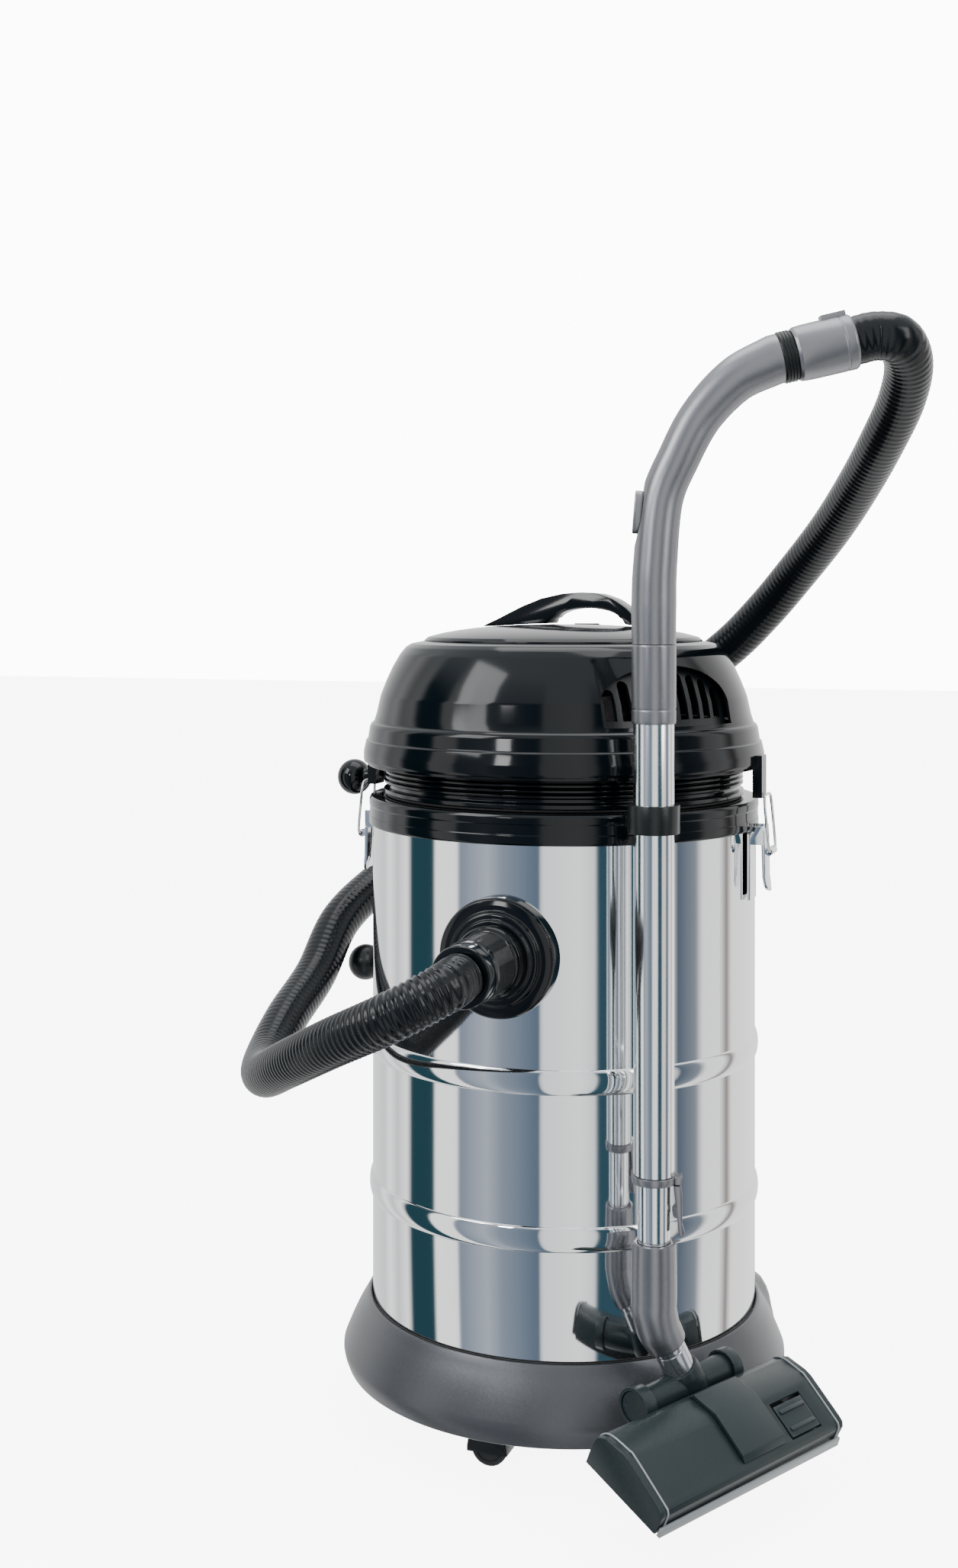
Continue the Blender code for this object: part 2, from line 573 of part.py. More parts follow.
def make_head(head):
    turned("head_lower_housing", (
        (0.1500, 0.5538), (0.1650, 0.5538), (0.1650, 0.5580), (0.1610, 0.5620), (0.1645, 0.5660),
        (0.1605, 0.5760), (0.1795, 0.5790), (0.1795, 0.5815), (0.0700, 0.5815), (0.0700, 0.5780),
        (0.1500, 0.5775)), "gloss_black", head)
    inner = [(radius - 0.0030, height - 0.0015) for radius, height in DOME[2:-1:2]]
    cover = turned("head_cover", list(DOME) + [(0.1285, 0.6885)] + inner[::-1] + [(SKIRT_R - 0.0028,
                                                                                   SKIRT_Z)],
                   "gloss_black", head)
    for side, word in ((1, "right"), (-1, "left")):
        low, high = sorted((side * 0.1800, side * 0.1884))
        keeper = boxes("keeper_" + word, (((low, LATCH_Y - 0.010, 0.5548),
                                           (high, LATCH_Y + 0.010, 0.5920)),),
                       "gloss_black", head)
        boolean(cover, keeper, "UNION")
    vent_turn = (0, 0, VENT_AZIMUTH + math.pi / 2)
    cutter = prism("vent_opening", vent_outline(), -0.22, -0.06, "matte_black", head, "xz",
                   rotation=vent_turn)
    boolean(cover, cutter)
    boolean(cover, turned("gland_hole", ((0, 0.165), (0.0080, 0.165), (0.0080, 0.20), (0, 0.20)),
                          "matte_black",
                          head, 14, (0, 0, 0.600), (-math.pi / 2, 0, 0)))
    make_vent_grille(head, vent_turn)
    top_cap = turned("top_cap", (
        (0.0, 0.6908), (CAP_R, 0.6908), (CAP_R + 0.0002, 0.6925), (0.1245, 0.6952), (0.110, 0.6990),
        (0.080, 0.7035), (0.040, 0.7060), (0.0, CAP_TOP_Z)), "gloss_black", head)
    boolean(top_cap, boxes("switch_well", (((-0.0130, 0.0720, 0.6925), (0.0130, 0.0980, 0.72)),),
                           "matte_black", head))
    make_carry_handle(head)
    rocker = empty("switch_axis", (0, 0.085, 0.6992), head)
    prism("power_switch", ((-0.0105, 0.0078), (-0.0060, 0.0070), (0, 0.0056), (0.0060, 0.0050),
                           (0.0105, 0.0048),
                           (0.0100, 0.0010), (0.0055, -0.0040), (-0.0055, -0.0040), (-0.0100, 0.0010)),
          -0.0122, 0.0122, "matte_black", rocker, "yz")
    turned("cord_gland", ((0.0042, 0.170), (0.0075, 0.170), (0.0075, 0.1842), (0.0115, 0.1842),
                          (0.0115, 0.1865),
                          (0.0085, 0.1885), (0.0070, 0.1990), (0.0042, 0.1990)), "rubber", head, 20,
           (0, 0, 0.600), (-math.pi / 2, 0, 0))
    make_cord_hook("cord_hook_upper", 0.5630, 0.1664, math.radians(-7), 0, 0.024, head, "gloss_black")


def make_vent_grille(head, turn):
    """A slatted insert that follows the dome a little below its surface."""
    skin = [(radius - 0.0075, height - 0.0015) for radius, height in DOME[4:-2]]
    back = [(radius - 0.0115, height - 0.0015) for radius, height in DOME[4:-2]]
    section = [(radius, height) for radius, height in skin] + back[::-1]
    shape = turned_shape(section, 8, VENT_AZIMUTH - math.radians(42), math.radians(84))
    grille = finish_mesh("exhaust_grille", shape, "matte_black", head)
    boolean(grille, prism("vent_plug", vent_outline(0.0006), -0.22, -0.06, "matte_black", head, "xz",
                          rotation=turn),
            "INTERSECT")
    slots = []
    for k in range(9):
        t = (k - 4) * 0.0140
        top = 0.640 + 0.029 * math.sqrt(1 - (t / 0.066) ** 2) - 0.002
        slots.append(((t - 0.0046, -0.20, VENT_BOTTOM_Z + 0.005), (t + 0.0046, -0.06, top)))
    boolean(grille, boxes("vent_slots", slots, "matte_black", head, rotation=turn))


def make_carry_handle(head):
    outer = [(-0.0830, 0.7052), (-0.0700, 0.7110), (-0.0450, 0.7232), (-0.0260, 0.7305), (-0.0050, 0.7350),
             (0.0120, 0.7362), (0.0280, 0.7350), (0.0430, 0.7300), (0.0560, 0.7215), (0.0660, 0.7110),
             (0.0690, 0.7054)]
    under = [(0.0550, 0.7062), (0.0525, 0.7110)] + ellipse_arc((0.0175, 0.7115), (0.0340, 0.0122), 12,
                                                               168, 8) \
        + [(-0.0180, 0.7110), (-0.0195, 0.7072), (-0.0500, 0.7060), (-0.0830, 0.7041)]
    handle = prism("carry_handle", outer + under, 0.0145, 0.0455, "gloss_black", head)
    soften = handle.modifiers.new("soften", "BEVEL")
    soften.width = 0.0028
    soften.segments = 2
    soften.limit_method = "ANGLE"
    soften.angle_limit = math.radians(60)


def make_inside(head):
    """Motor, fan, float valve and filter that hang from the head into the drum."""
    turned("motor", ((0.0086, 0.5850), (0.0380, 0.5850), (0.0580, 0.5900), (0.0580, 0.6420),
                     (0.0450, 0.6440),
                     (0.0450, 0.6720), (0.0200, 0.6760), (0.0086, 0.6760)), "motor_metal", head, 20)
    for name, height in (("bearing_lower", 0.5790), ("bearing_upper", 0.6770)):
        turned(name, tube_outline(0.0045, 0.0110, height, height + 0.0055), "chrome", head, 16)
    turned("fan_housing", (
        (0.0250, 0.5440), (0.0830, 0.5440), (0.0830, 0.5765), (0.0680, 0.5765), (0.0680, 0.5738),
        (0.0800, 0.5738), (0.0800, 0.5460), (0.0250, 0.5460)), "matte_black", head, 24)
    rotor = empty("rotor_axis", (0, 0, 0), head)
    turned("motor_shaft", ((0, 0.5475), (0.0041, 0.5475), (0.0041, 0.6845), (0, 0.6845)), "chrome",
           rotor, 16)
    fan = turned("fan_impeller", (
        (0.0045, 0.5500), (0.0230, 0.5500), (0.0230, 0.5540), (0.0640, 0.5540), (0.0640, 0.5560),
        (0.0100, 0.5560), (0.0100, 0.5680), (0.0045, 0.5680)), "motor_metal", rotor, 20)
    for k in range(8):
        turn = 2 * math.pi * k / 8
        blade = boxes("fan_blade_%d" % k, (((0.0250, -0.0010, 0.5550), (0.0620, 0.0010, 0.5650)),),
                      "motor_metal", rotor, rotation=(0, 0, turn))
        boolean(fan, blade, "UNION")
    cage = turned("float_cage", (
        (0.0, 0.4580), (0.0560, 0.4580), (0.0560, 0.5390), (0.0620, 0.5400), (0.0620, 0.5434),
        (0.0300, 0.5434), (0.0300, 0.5400), (0.0535, 0.5390), (0.0535, 0.4605), (0.0, 0.4605)),
        "cage_white", head, 16)
    for k in range(4):
        turn = math.pi * k / 4
        window = boxes("cage_window_%d" % k, (((-0.09, -0.0135, 0.4680), (0.09, 0.0135, 0.5320)),),
                       "cage_white", head, rotation=(0, 0, turn))
        boolean(cage, window)
    boolean(cage, turned("cage_drain", ((0, 0.45), (0.012, 0.45), (0.012, 0.47), (0, 0.47)),
                         "cage_white", head, 16))
    rise = empty("float_axis", (0, 0, 0.4890), head)
    turned("float_ball", ellipse_arc((0, 0), (0.0270, 0.0270), -90, 90, 8), "light_grey", rise, 12)
    turned("cloth_filter", (
        (0.0, 0.4140), (0.0950, 0.4160), (0.1190, 0.4450), (0.1420, 0.5500), (0.1400, 0.5500),
        (0.1170, 0.4460), (0.0935, 0.4180), (0.0, 0.4160)), "filter_cloth", head, 24)
    turned("filter_ring", tube_outline(0.1424, 0.1485, 0.5440, 0.5530), "rubber", head, 24)


# Wand and handle --------------------------------------------------------------------
def make_park_clip(axis):
    """A collar on an arm from the rim band, which holds the wand upright."""
    low, high = CLIP_ZS
    to_drum = math.atan2(-WAND_Y, -WAND_X)
    reach = math.hypot(WAND_X, WAND_Y) - BAND_R - 0.0006
    clip = turned("park_clip", tube_outline(TUBE_OUTER_R + 0.0006, 0.0210, low, high), "matte_black",
                  axis, 24, (WAND_X, WAND_Y, 0))
    arm = boxes("clip_arm", (((0.0185, -0.0080, low), (reach, 0.0080, 0.5545)),), "matte_black", axis,
                (WAND_X, WAND_Y, 0), (0, 0, to_drum))
    boolean(clip, arm, "UNION")


def make_wand(axis, slider):
    foot = Vector((WAND_X, WAND_Y, 0))
    turned("inner_tube", tube_outline(TUBE_INNER_R - TUBE_WALL, TUBE_INNER_R, 0.2006, 0.5600),
           "chrome", axis, 24, foot)
    turned("outer_tube", tube_outline(TUBE_OUTER_R - TUBE_WALL, TUBE_OUTER_R, COLLAR_Z + 0.0045,
                                      0.6400), "chrome",
           slider, 24)
    lock = turned("lock_ring", (
        (TUBE_INNER_R + 0.0005, COLLAR_Z - 0.0020), (0.0176, COLLAR_Z - 0.0020), (0.0180, COLLAR_Z),
        (0.0180, COLLAR_Z + 0.0040), (TUBE_INNER_R + 0.0005, COLLAR_Z + 0.0040)), "handle_grey", slider, 24)
    right = Vector((0.954, 0.301, 0)).normalized()
    turn = (0, 0, math.atan2(right.y, right.x))
    boolean(lock, boxes("lock_boss", (((0.0165, -0.0075, COLLAR_Z - 0.0020),
                                       (0.0225, 0.0075, COLLAR_Z + 0.0040)),),
                        "handle_grey", slider, rotation=turn), "UNION")
    hinge = empty("lock_lever_axis", None, slider,
                  Matrix.Translation(right * 0.0185 + Vector((0, 0,
                                                              0.2575))) @ Matrix.Rotation(turn[2], 4, "Z"))
    prism("lock_lever", ((-0.0030, 0.0012), (0.0030, 0.0012), (0.0040, -0.0060), (0.0040, -0.0290),
                         (0.0060, -0.0370),
                         (0.0040, -0.0395), (0.0010, -0.0390), (0.0, -0.0250), (-0.0036, -0.0230),
                         (-0.0036, -0.0190),
                         (-0.0010, -0.0160)), -0.0065, 0.0065, "handle_grey", hinge)
    turned("handle_sleeve", ((TUBE_OUTER_R + 0.0004, SLEEVE_Z), (0.0176, SLEEVE_Z),
                             (0.0180, SLEEVE_Z + 0.002),
                             (0.0180, GRIP_Z - 0.0018), (0.0175, GRIP_Z - GAP),
                             (TUBE_OUTER_R + 0.0004, GRIP_Z - GAP)),
           "handle_grey", slider, 24)


def make_handle(holder):
    """The curved grip, its collar and the hose cuff, drawn in the drum's axes."""
    path = smooth_path(HANDLE_PATH, 16)
    knots = [Vector(point) for point in HANDLE_PATH]
    lengths = [0.0]
    for here, there in zip(knots, knots[1:]):
        lengths.append(lengths[-1] + (there - here).length)
    radii = []
    for k in range(len(path)):
        wanted = lengths[-1] * k / (len(path) - 1)
        n = max(i for i in range(len(lengths) - 1) if lengths[i] <= wanted + 1e-9)
        share = (wanted - lengths[n]) / (lengths[n + 1] - lengths[n])
        radii.append(HANDLE_RADII[n] * (1 - share) + HANDLE_RADII[n + 1] * share)
    path.append(path[-1] + CUFF_AXIS * 0.004)
    radii.append(radii[-1])
    grip = loft("handle_grip", rings_along(path, radii, 18), "handle_grey", holder)
    end = path[-1]
    ahead = CUFF_AXIS
    track = ahead.to_track_quat("Z", "Y").to_euler()
    turned("ribbed_collar", (
        (0, GAP), (0.0200, GAP), (0.0212, 0.0020), (0.0212, 0.0110), (0.0200, 0.0120), (0, 0.0120)),
        "matte_black", holder, 20, end, track)
    reach = (CUFF_END - end).length - GAP
    cuff = turned("hose_cuff", (
        (0, 0.0124), (0.0208, 0.0124), (0.0222, 0.0150), (0.0228, 0.0300), (0.0228, reach - 0.002),
        (0.0218, reach), (0.0150, reach), (0.0150, 0.0400), (0, 0.0400)), "handle_grey", holder, 24,
        end, track)
    lift = Vector((0, 0, 1)) - ahead * ahead.z
    lift.normalize()
    middle = end + ahead * (reach - 0.012) + lift * 0.0235
    turn = Matrix((ahead, lift.cross(ahead), lift)).transposed()
    tab = boxes("cuff_tab", (((-0.0100, -0.0060, -0.0040), (0.0100, 0.0060, 0.0022)),), "handle_grey",
                holder,
                middle, turn.to_euler())
    boolean(cuff, tab, "UNION")
    make_slider(grip, holder)


def make_slider(grip, holder):
    """Suction relief: an oval slide in a shallow seat on the grip's left side."""
    seat = empty("suction_axis", None, holder, Matrix.Translation((0.1355, -0.1785, 0.799))
                 @ Matrix.Rotation(math.radians(5), 4, "Y") @ Matrix.Rotation(math.radians(197.5), 4, "Z"))
    oval = ellipse_arc((0, 0.0), (0.0085, 0.0165), 0, 180, 8)
    oval += ellipse_arc((0, -0.002), (0.0085, 0.0165), 180, 360, 8)
    room = ellipse_arc((0, 0.0), (0.0092, 0.0250), 0, 180, 8)
    room += ellipse_arc((0, -0.003), (0.0092, 0.0250), 180, 360, 8)
    boolean(grip, prism("suction_seat", room, 0.0120, 0.0300, "matte_black", seat, "yz"))
    prism("suction_slider", oval, 0.0124, 0.0188, "handle_grey", seat, "yz")


# Floor nozzle -----------------------------------------------------------------------
def nozzle_frame():
    """Matrix of the barrel's axis: x along the nozzle, y back along the sole, z off the sole."""
    along = Vector((math.cos(NOZZLE_HEADING), math.sin(NOZZLE_HEADING), 0))
    level_back = Vector((-along.y, along.x, 0))
    back = level_back * math.cos(NOZZLE_PITCH) + Vector((0, 0, math.sin(NOZZLE_PITCH)))
    up = along.cross(back)
    turn = Matrix((along, back, up)).transposed().to_4x4()
    return Matrix.Translation(NOZZLE_FRONT + back * BARREL_S + up * BARREL_N) @ turn


def make_neck(axis):
    """Plastic neck of the wand, then the swivelling elbow that carries the nozzle."""
    frame = nozzle_frame()
    joint = frame @ Vector((SWIVEL_AT, 0, 0))
    bend = Vector((WAND_X, WAND_Y, 0.150))
    lean = (joint - bend).normalized()
    foot = bend + lean * 0.024
    column = [(WAND_X, WAND_Y, z) for z in (NECK_TOP_Z, 0.2100, 0.1950, 0.1720)]
    path = column + [bend + Vector((0, 0, 0.008)), bend + lean * 0.008, foot]
    neck = loft("wand_neck", rings_along(path,
                                         (0.0176, 0.0185, 0.0180, 0.0187, 0.0187, 0.0185, 0.0172), 24),
                "handle_grey", axis)
    boolean(neck, turned("neck_bore", ((0, 0.2000), (0.0138, 0.2000), (0.0138, 0.24), (0, 0.24)),
                         "chrome", axis, 24,
                         (WAND_X, WAND_Y, 0)))
    reach = (joint - foot).length
    track = lean.to_track_quat("Z", "Y").to_euler()
    swivel = empty("neck_swivel_axis", foot, axis)
    elbow = turned("nozzle_elbow", ((0, 0.0006), (0.0125, 0.0006), (0.01325, 0.0018),
                                    (0.01325, reach - 0.002),
                                    (0, reach - 0.002)), "chrome", swivel, 24, rotation=track)
    low, high = BARREL_SPAN
    barrel = turned("barrel", ((0, low), (BARREL_R, low), (BARREL_R, high), (0, high)), "matte_black",
                    axis, 24)
    barrel.matrix_basis = frame @ Matrix.Rotation(math.pi / 2, 4, "Y")
    boolean(elbow, barrel, "UNION")
    return frame


def make_nozzle(axis, frame):
    """Everything that pitches about the barrel; heights are off the sole, depths from the front edge."""
    pitch = empty("nozzle_pitch_axis", None, axis, frame)

    def at(s, n):
        return (s - BARREL_S, n - BARREL_N)

    half = NOZZLE_LENGTH / 2
    outer = ((0.0, 0.0030), (-0.0012, 0.0190), (0.0006, 0.0225), (0.0050, 0.0246), (0.0410, 0.0360),
             (0.0480, 0.0366),
             (0.0660, 0.0345), (0.0740, 0.0290), (0.0760, 0.0220), (0.0760, 0.0030))
    inner = ((0.0735, 0.0030), (0.0735, 0.0215), (0.0718, 0.0275), (0.0650, 0.0319), (0.0480, 0.0340),
             (0.0415, 0.0334), (0.0060, 0.0222), (0.0025, 0.0205), (0.0013, 0.0185), (0.0025, 0.0030))
    shell = prism("nozzle_shell", [at(*p) for p in outer + inner], -half + 0.0074, half - 0.0074,
                  "nozzle_dark", pitch, "yz")
    for k, (near, far) in enumerate(((BARREL_SPAN[0] - 0.001, -0.040), (0.056, BARREL_SPAN[1] + 0.001))):
        ear = prism("barrel_ear_%d" % k, ellipse_arc((0, 0), (0.0155, 0.0155), 0, 345, 16), near, far,
                    "nozzle_dark",
                    pitch, "yz")
        web = boxes("ear_web_%d" % k, (((near, 0.0745 - BARREL_S, -0.0140), (far, -0.0060, 0.0040)),),
                    "nozzle_dark", pitch)
        boolean(shell, ear, "UNION")
        boolean(shell, web, "UNION")
    bore = prism("ear_bore", ellipse_arc((0, 0), (0.0129, 0.0129), 0, 345, 16), -0.08, 0.09,
                 "nozzle_dark", pitch, "yz")
    boolean(shell, bore)
    window = boxes("pedal_window", (((0.0490, 0.0045 - BARREL_S, 0.0130 - BARREL_N),
                                     (0.0870, 0.0345 - BARREL_S, 0.06)),),
                   "nozzle_dark", pitch)
    boolean(shell, window)
    for side, word in ((1, "right"), (-1, "left")):
        near, far = sorted((side * (half - 0.0070), side * half))
        prism("nozzle_end_cap_" + word, [at(*p) for p in outer], near, far, "nozzle_dark", pitch, "yz")
    sole = boxes("nozzle_sole", (((-half + 0.0080, 0.0015 - BARREL_S, -BARREL_N),
                                  (half - 0.0080, 0.0745 - BARREL_S, 0.0026 - BARREL_N)),),
                 "matte_black", pitch)
    slots = []
    for near, far in ((0.0075, 0.0125), (0.0280, 0.0400)):
        slots.append(((-0.0960, near - BARREL_S, -0.03), (0.0960, far - BARREL_S, 0.0)))
    boolean(sole, boxes("sole_slots", slots, "matte_black", pitch))
    prism("nozzle_bumper", [at(*p) for p in ((-0.0040, 0.0020), (-0.0004, 0.0020), (-0.0012, 0.0100),
                                             (-0.0036, 0.0096))],
          -half + 0.002, half - 0.002, "light_grey", pitch, "yz")
    prism("nozzle_housing", [at(*p) for p in (
        (0.0040, 0.0250), (0.0405, 0.0365), (0.0482, 0.0371), (0.0655, 0.0351), (0.0690, 0.0330),
        (0.0700, 0.0350), (0.0660, 0.0395), (0.0420, 0.0412), (0.0080, 0.0300))],
          -0.0120, 0.0400, "nozzle_dark", pitch, "yz")
    rock = empty("pedal_axis", (0.068, 0.0190 - BARREL_S, 0.0262 - BARREL_N), pitch)
    slab = ((-0.0130, -0.0070), (0.0130, 0.0010), (0.0122, 0.0072), (-0.0134, -0.0006))
    pedal = prism("nozzle_pedal", slab, -0.0178, 0.0178, "nozzle_dark", rock, "yz")
    for k, y in enumerate((-0.0080, 0.0060)):
        rib = boxes("pedal_rib_%d" % k, (((-0.0150, y - 0.0018, -0.0040),
                                          (0.0150, y + 0.0018, 0.0052 + y * 0.31)),),
                    "nozzle_dark", rock)
        boolean(pedal, rib, "UNION")
    drop = empty("brush_strip_axis", (0, 0.0100 - BARREL_S, -BARREL_N), pitch)
    boxes("brush_strip", (((-0.0950, -0.0018, 0.0005), (0.0950, 0.0018, 0.0100)),), "brush", drop)


def make_hose(axis):
    curve = bpy.data.curves.new("hose", "CURVE")
    curve.dimensions = "3D"
    curve.bevel_depth = HOSE_R
    curve.bevel_resolution = 2
    curve.use_fill_caps = True
    points = smooth_path(HOSE_ROUTE, 38)
    points.insert(1, points[0] + Vector((0, -0.008, 0)))
    points.insert(-1, points[-1] + CUFF_AXIS * 0.008)
    line = curve.splines.new("POLY")
    line.points.add(len(points) - 1)
    for knot, point in zip(line.points, points):
        knot.co = (*point, 1)
    hose = bpy.data.objects.new("hose", curve)
    bpy.context.collection.objects.link(hose)
    curve.materials.append(material("hose"))
    hose.parent = axis
    return hose


def main():
    clear_scene()
    axis = empty("drum_axis", (AXIS_X, AXIS_Y, 0))
    make_base(axis)
    make_front_caster(axis)
    make_drum(axis)
    make_port(axis)
    for side, word in ((1, "right"), (-1, "left")):
        make_latch(axis, side, word)
    make_cord_hook("cord_hook_lower", LOWER_HOOK_Z, 0.1768, 0, 0.0150, 0, axis, "matte_black")
    make_park_clip(axis)
    head = empty("head_axis", (0, 0, 0), axis)
    make_head(head)
    make_inside(head)
    wand = empty("wand_axis", (WAND_X, WAND_Y, 0), axis)
    make_wand(axis, wand)
    handle = empty("handle_axis", (-WAND_X, -WAND_Y, 0), wand)
    make_handle(handle)
    frame = make_neck(axis)
    make_nozzle(axis, frame)
    make_hose(axis)


main()
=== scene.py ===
"""Looks of the drum vacuum cleaner: fine meshes, procedural materials, light and camera."""
import math

import bmesh
import bpy
from mathutils import Matrix, Vector


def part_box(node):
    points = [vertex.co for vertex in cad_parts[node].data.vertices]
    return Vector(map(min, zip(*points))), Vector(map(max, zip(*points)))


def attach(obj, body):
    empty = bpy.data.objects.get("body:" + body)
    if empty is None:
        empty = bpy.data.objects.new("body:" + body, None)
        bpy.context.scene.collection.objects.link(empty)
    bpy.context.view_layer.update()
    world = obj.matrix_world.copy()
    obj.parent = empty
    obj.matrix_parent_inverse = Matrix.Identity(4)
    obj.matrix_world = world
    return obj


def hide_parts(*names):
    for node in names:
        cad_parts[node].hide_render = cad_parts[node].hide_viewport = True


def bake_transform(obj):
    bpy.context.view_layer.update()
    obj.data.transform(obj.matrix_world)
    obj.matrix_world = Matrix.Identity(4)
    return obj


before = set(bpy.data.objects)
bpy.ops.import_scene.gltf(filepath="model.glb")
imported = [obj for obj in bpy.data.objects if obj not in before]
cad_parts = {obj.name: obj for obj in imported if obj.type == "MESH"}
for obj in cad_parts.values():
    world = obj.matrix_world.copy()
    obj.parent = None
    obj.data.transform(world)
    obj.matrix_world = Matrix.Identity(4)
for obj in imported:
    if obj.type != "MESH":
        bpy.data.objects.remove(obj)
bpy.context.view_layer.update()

drum_low, drum_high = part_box("drum")
AXIS = Vector(((drum_low[0] + drum_high[0]) / 2, (drum_low[1] + drum_high[1]) / 2, 0))
tube_low, tube_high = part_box("outer_tube")
WAND = Vector(((tube_low[0] + tube_high[0]) / 2, (tube_low[1] + tube_high[1]) / 2, 0))
AT_AXIS = Matrix.Translation(AXIS)
AT_WAND = Matrix.Translation(WAND)
TO_FRONT = Matrix.Rotation(math.pi / 2, 4, "X")       # a turned outline's height then runs along -Y
TO_BACK = Matrix.Rotation(-math.pi / 2, 4, "X")
AT_PORT = Matrix.Translation(AXIS + Vector((0, 0, 0.432))) @ TO_FRONT
AT_GLAND = Matrix.Translation(AXIS + Vector((0, 0, 0.600))) @ TO_BACK
ROUND = 160                                          # sides of the large turned pieces
DRUM_SIDES = 200
DRUM_R = 0.175
BEADS = (0.329, 0.199)                               # heights of the drum's rolled beads
HOOK_BEARING = math.radians(-101)                    # from the front, towards +X
BARREL_BACK = 0.0894                                 # the nozzle's pivot, back from its front edge
BARREL_UP = 0.0210                                   # and above its sole
PER_KNOT = 24                                        # steps of a smooth path between two knots


# Camera, light and floor ------------------------------------------------------------
def colours(sockets):
    """The colour sockets of a Mix node, which also has ones for numbers and vectors."""
    return [socket for socket in sockets if socket.type == "RGBA"]


def make_camera():
    data = bpy.data.cameras.new("camera")
    data.sensor_width = 36
    data.lens = 42.04
    data.shift_x = 0.0
    data.shift_y = -0.1153
    camera = bpy.data.objects.new("camera", data)
    bpy.context.collection.objects.link(camera)
    camera.location = AXIS + Vector((0.508, -1.612, 0.726))
    camera.rotation_euler = Vector((-0.344, 0.939, 0)).to_track_quat("-Z", "Y").to_euler()
    bpy.context.scene.camera = camera


def make_floor():
    mesh = bpy.data.meshes.new("floor")
    shape = bmesh.new()
    bmesh.ops.create_grid(shape, x_segments=1, y_segments=1, size=14)
    shape.to_mesh(mesh)
    shape.free()
    floor = bpy.data.objects.new("floor", mesh)
    bpy.context.collection.objects.link(floor)
    pale = bpy.data.materials.new("floor_paint")
    pale.use_nodes = True
    shader = pale.node_tree.nodes["Principled BSDF"]
    shader.inputs["Base Color"].default_value = (0.93, 0.93, 0.93, 1)
    shader.inputs["Roughness"].default_value = 0.6
    shader.inputs["Emission Color"].default_value = (1, 1, 1, 1)
    shader.inputs["Emission Strength"].default_value = 7.0
    mesh.materials.append(pale)
    floor.visible_glossy = False       # the studio's bands then reach the drum's foot in its mirror
    floor.visible_diffuse = False      # and the floor's glow doesn't light the object from below


VIEW_BEARING = 17.5   # degrees from the front to the camera's side
STUDIO_BANDS = (      # bearing from the camera's side in degrees, and colour
    (-180, (0.90, 0.90, 0.90)), (-134, (0.62, 0.63, 0.64)), (-126, (0.95, 0.95, 0.95)),
    (-116, (0.55, 0.56, 0.57)), (-106, (0.90, 0.90, 0.90)), (-101, (0.012, 0.038, 0.050)),
    (-82, (0.012, 0.038, 0.050)), (-80, (0.92, 0.92, 0.91)), (-65, (0.88, 0.88, 0.88)),
    (-63, (0.15, 0.18, 0.23)), (-45, (0.30, 0.33, 0.38)), (-36, (0.17, 0.20, 0.25)),
    (-14, (0.07, 0.10, 0.14)), (-12, (0.66, 0.67, 0.68)), (10, (0.80, 0.80, 0.80)),
    (18, (0.60, 0.62, 0.63)), (20, (0.02, 0.05, 0.07)), (42, (0.02, 0.05, 0.07)),
    (44, (0.55, 0.54, 0.52)), (66, (0.60, 0.60, 0.60)), (70, (0.06, 0.08, 0.11)),
    (84, (0.16, 0.18, 0.21)), (90, (0.80, 0.80, 0.80)), (104, (0.85, 0.85, 0.85)),
    (112, (0.16, 0.14, 0.13)), (118, (0.85, 0.84, 0.83)), (150, (0.95, 0.95, 0.95)),
    (180, (0.90, 0.90, 0.90)),
)


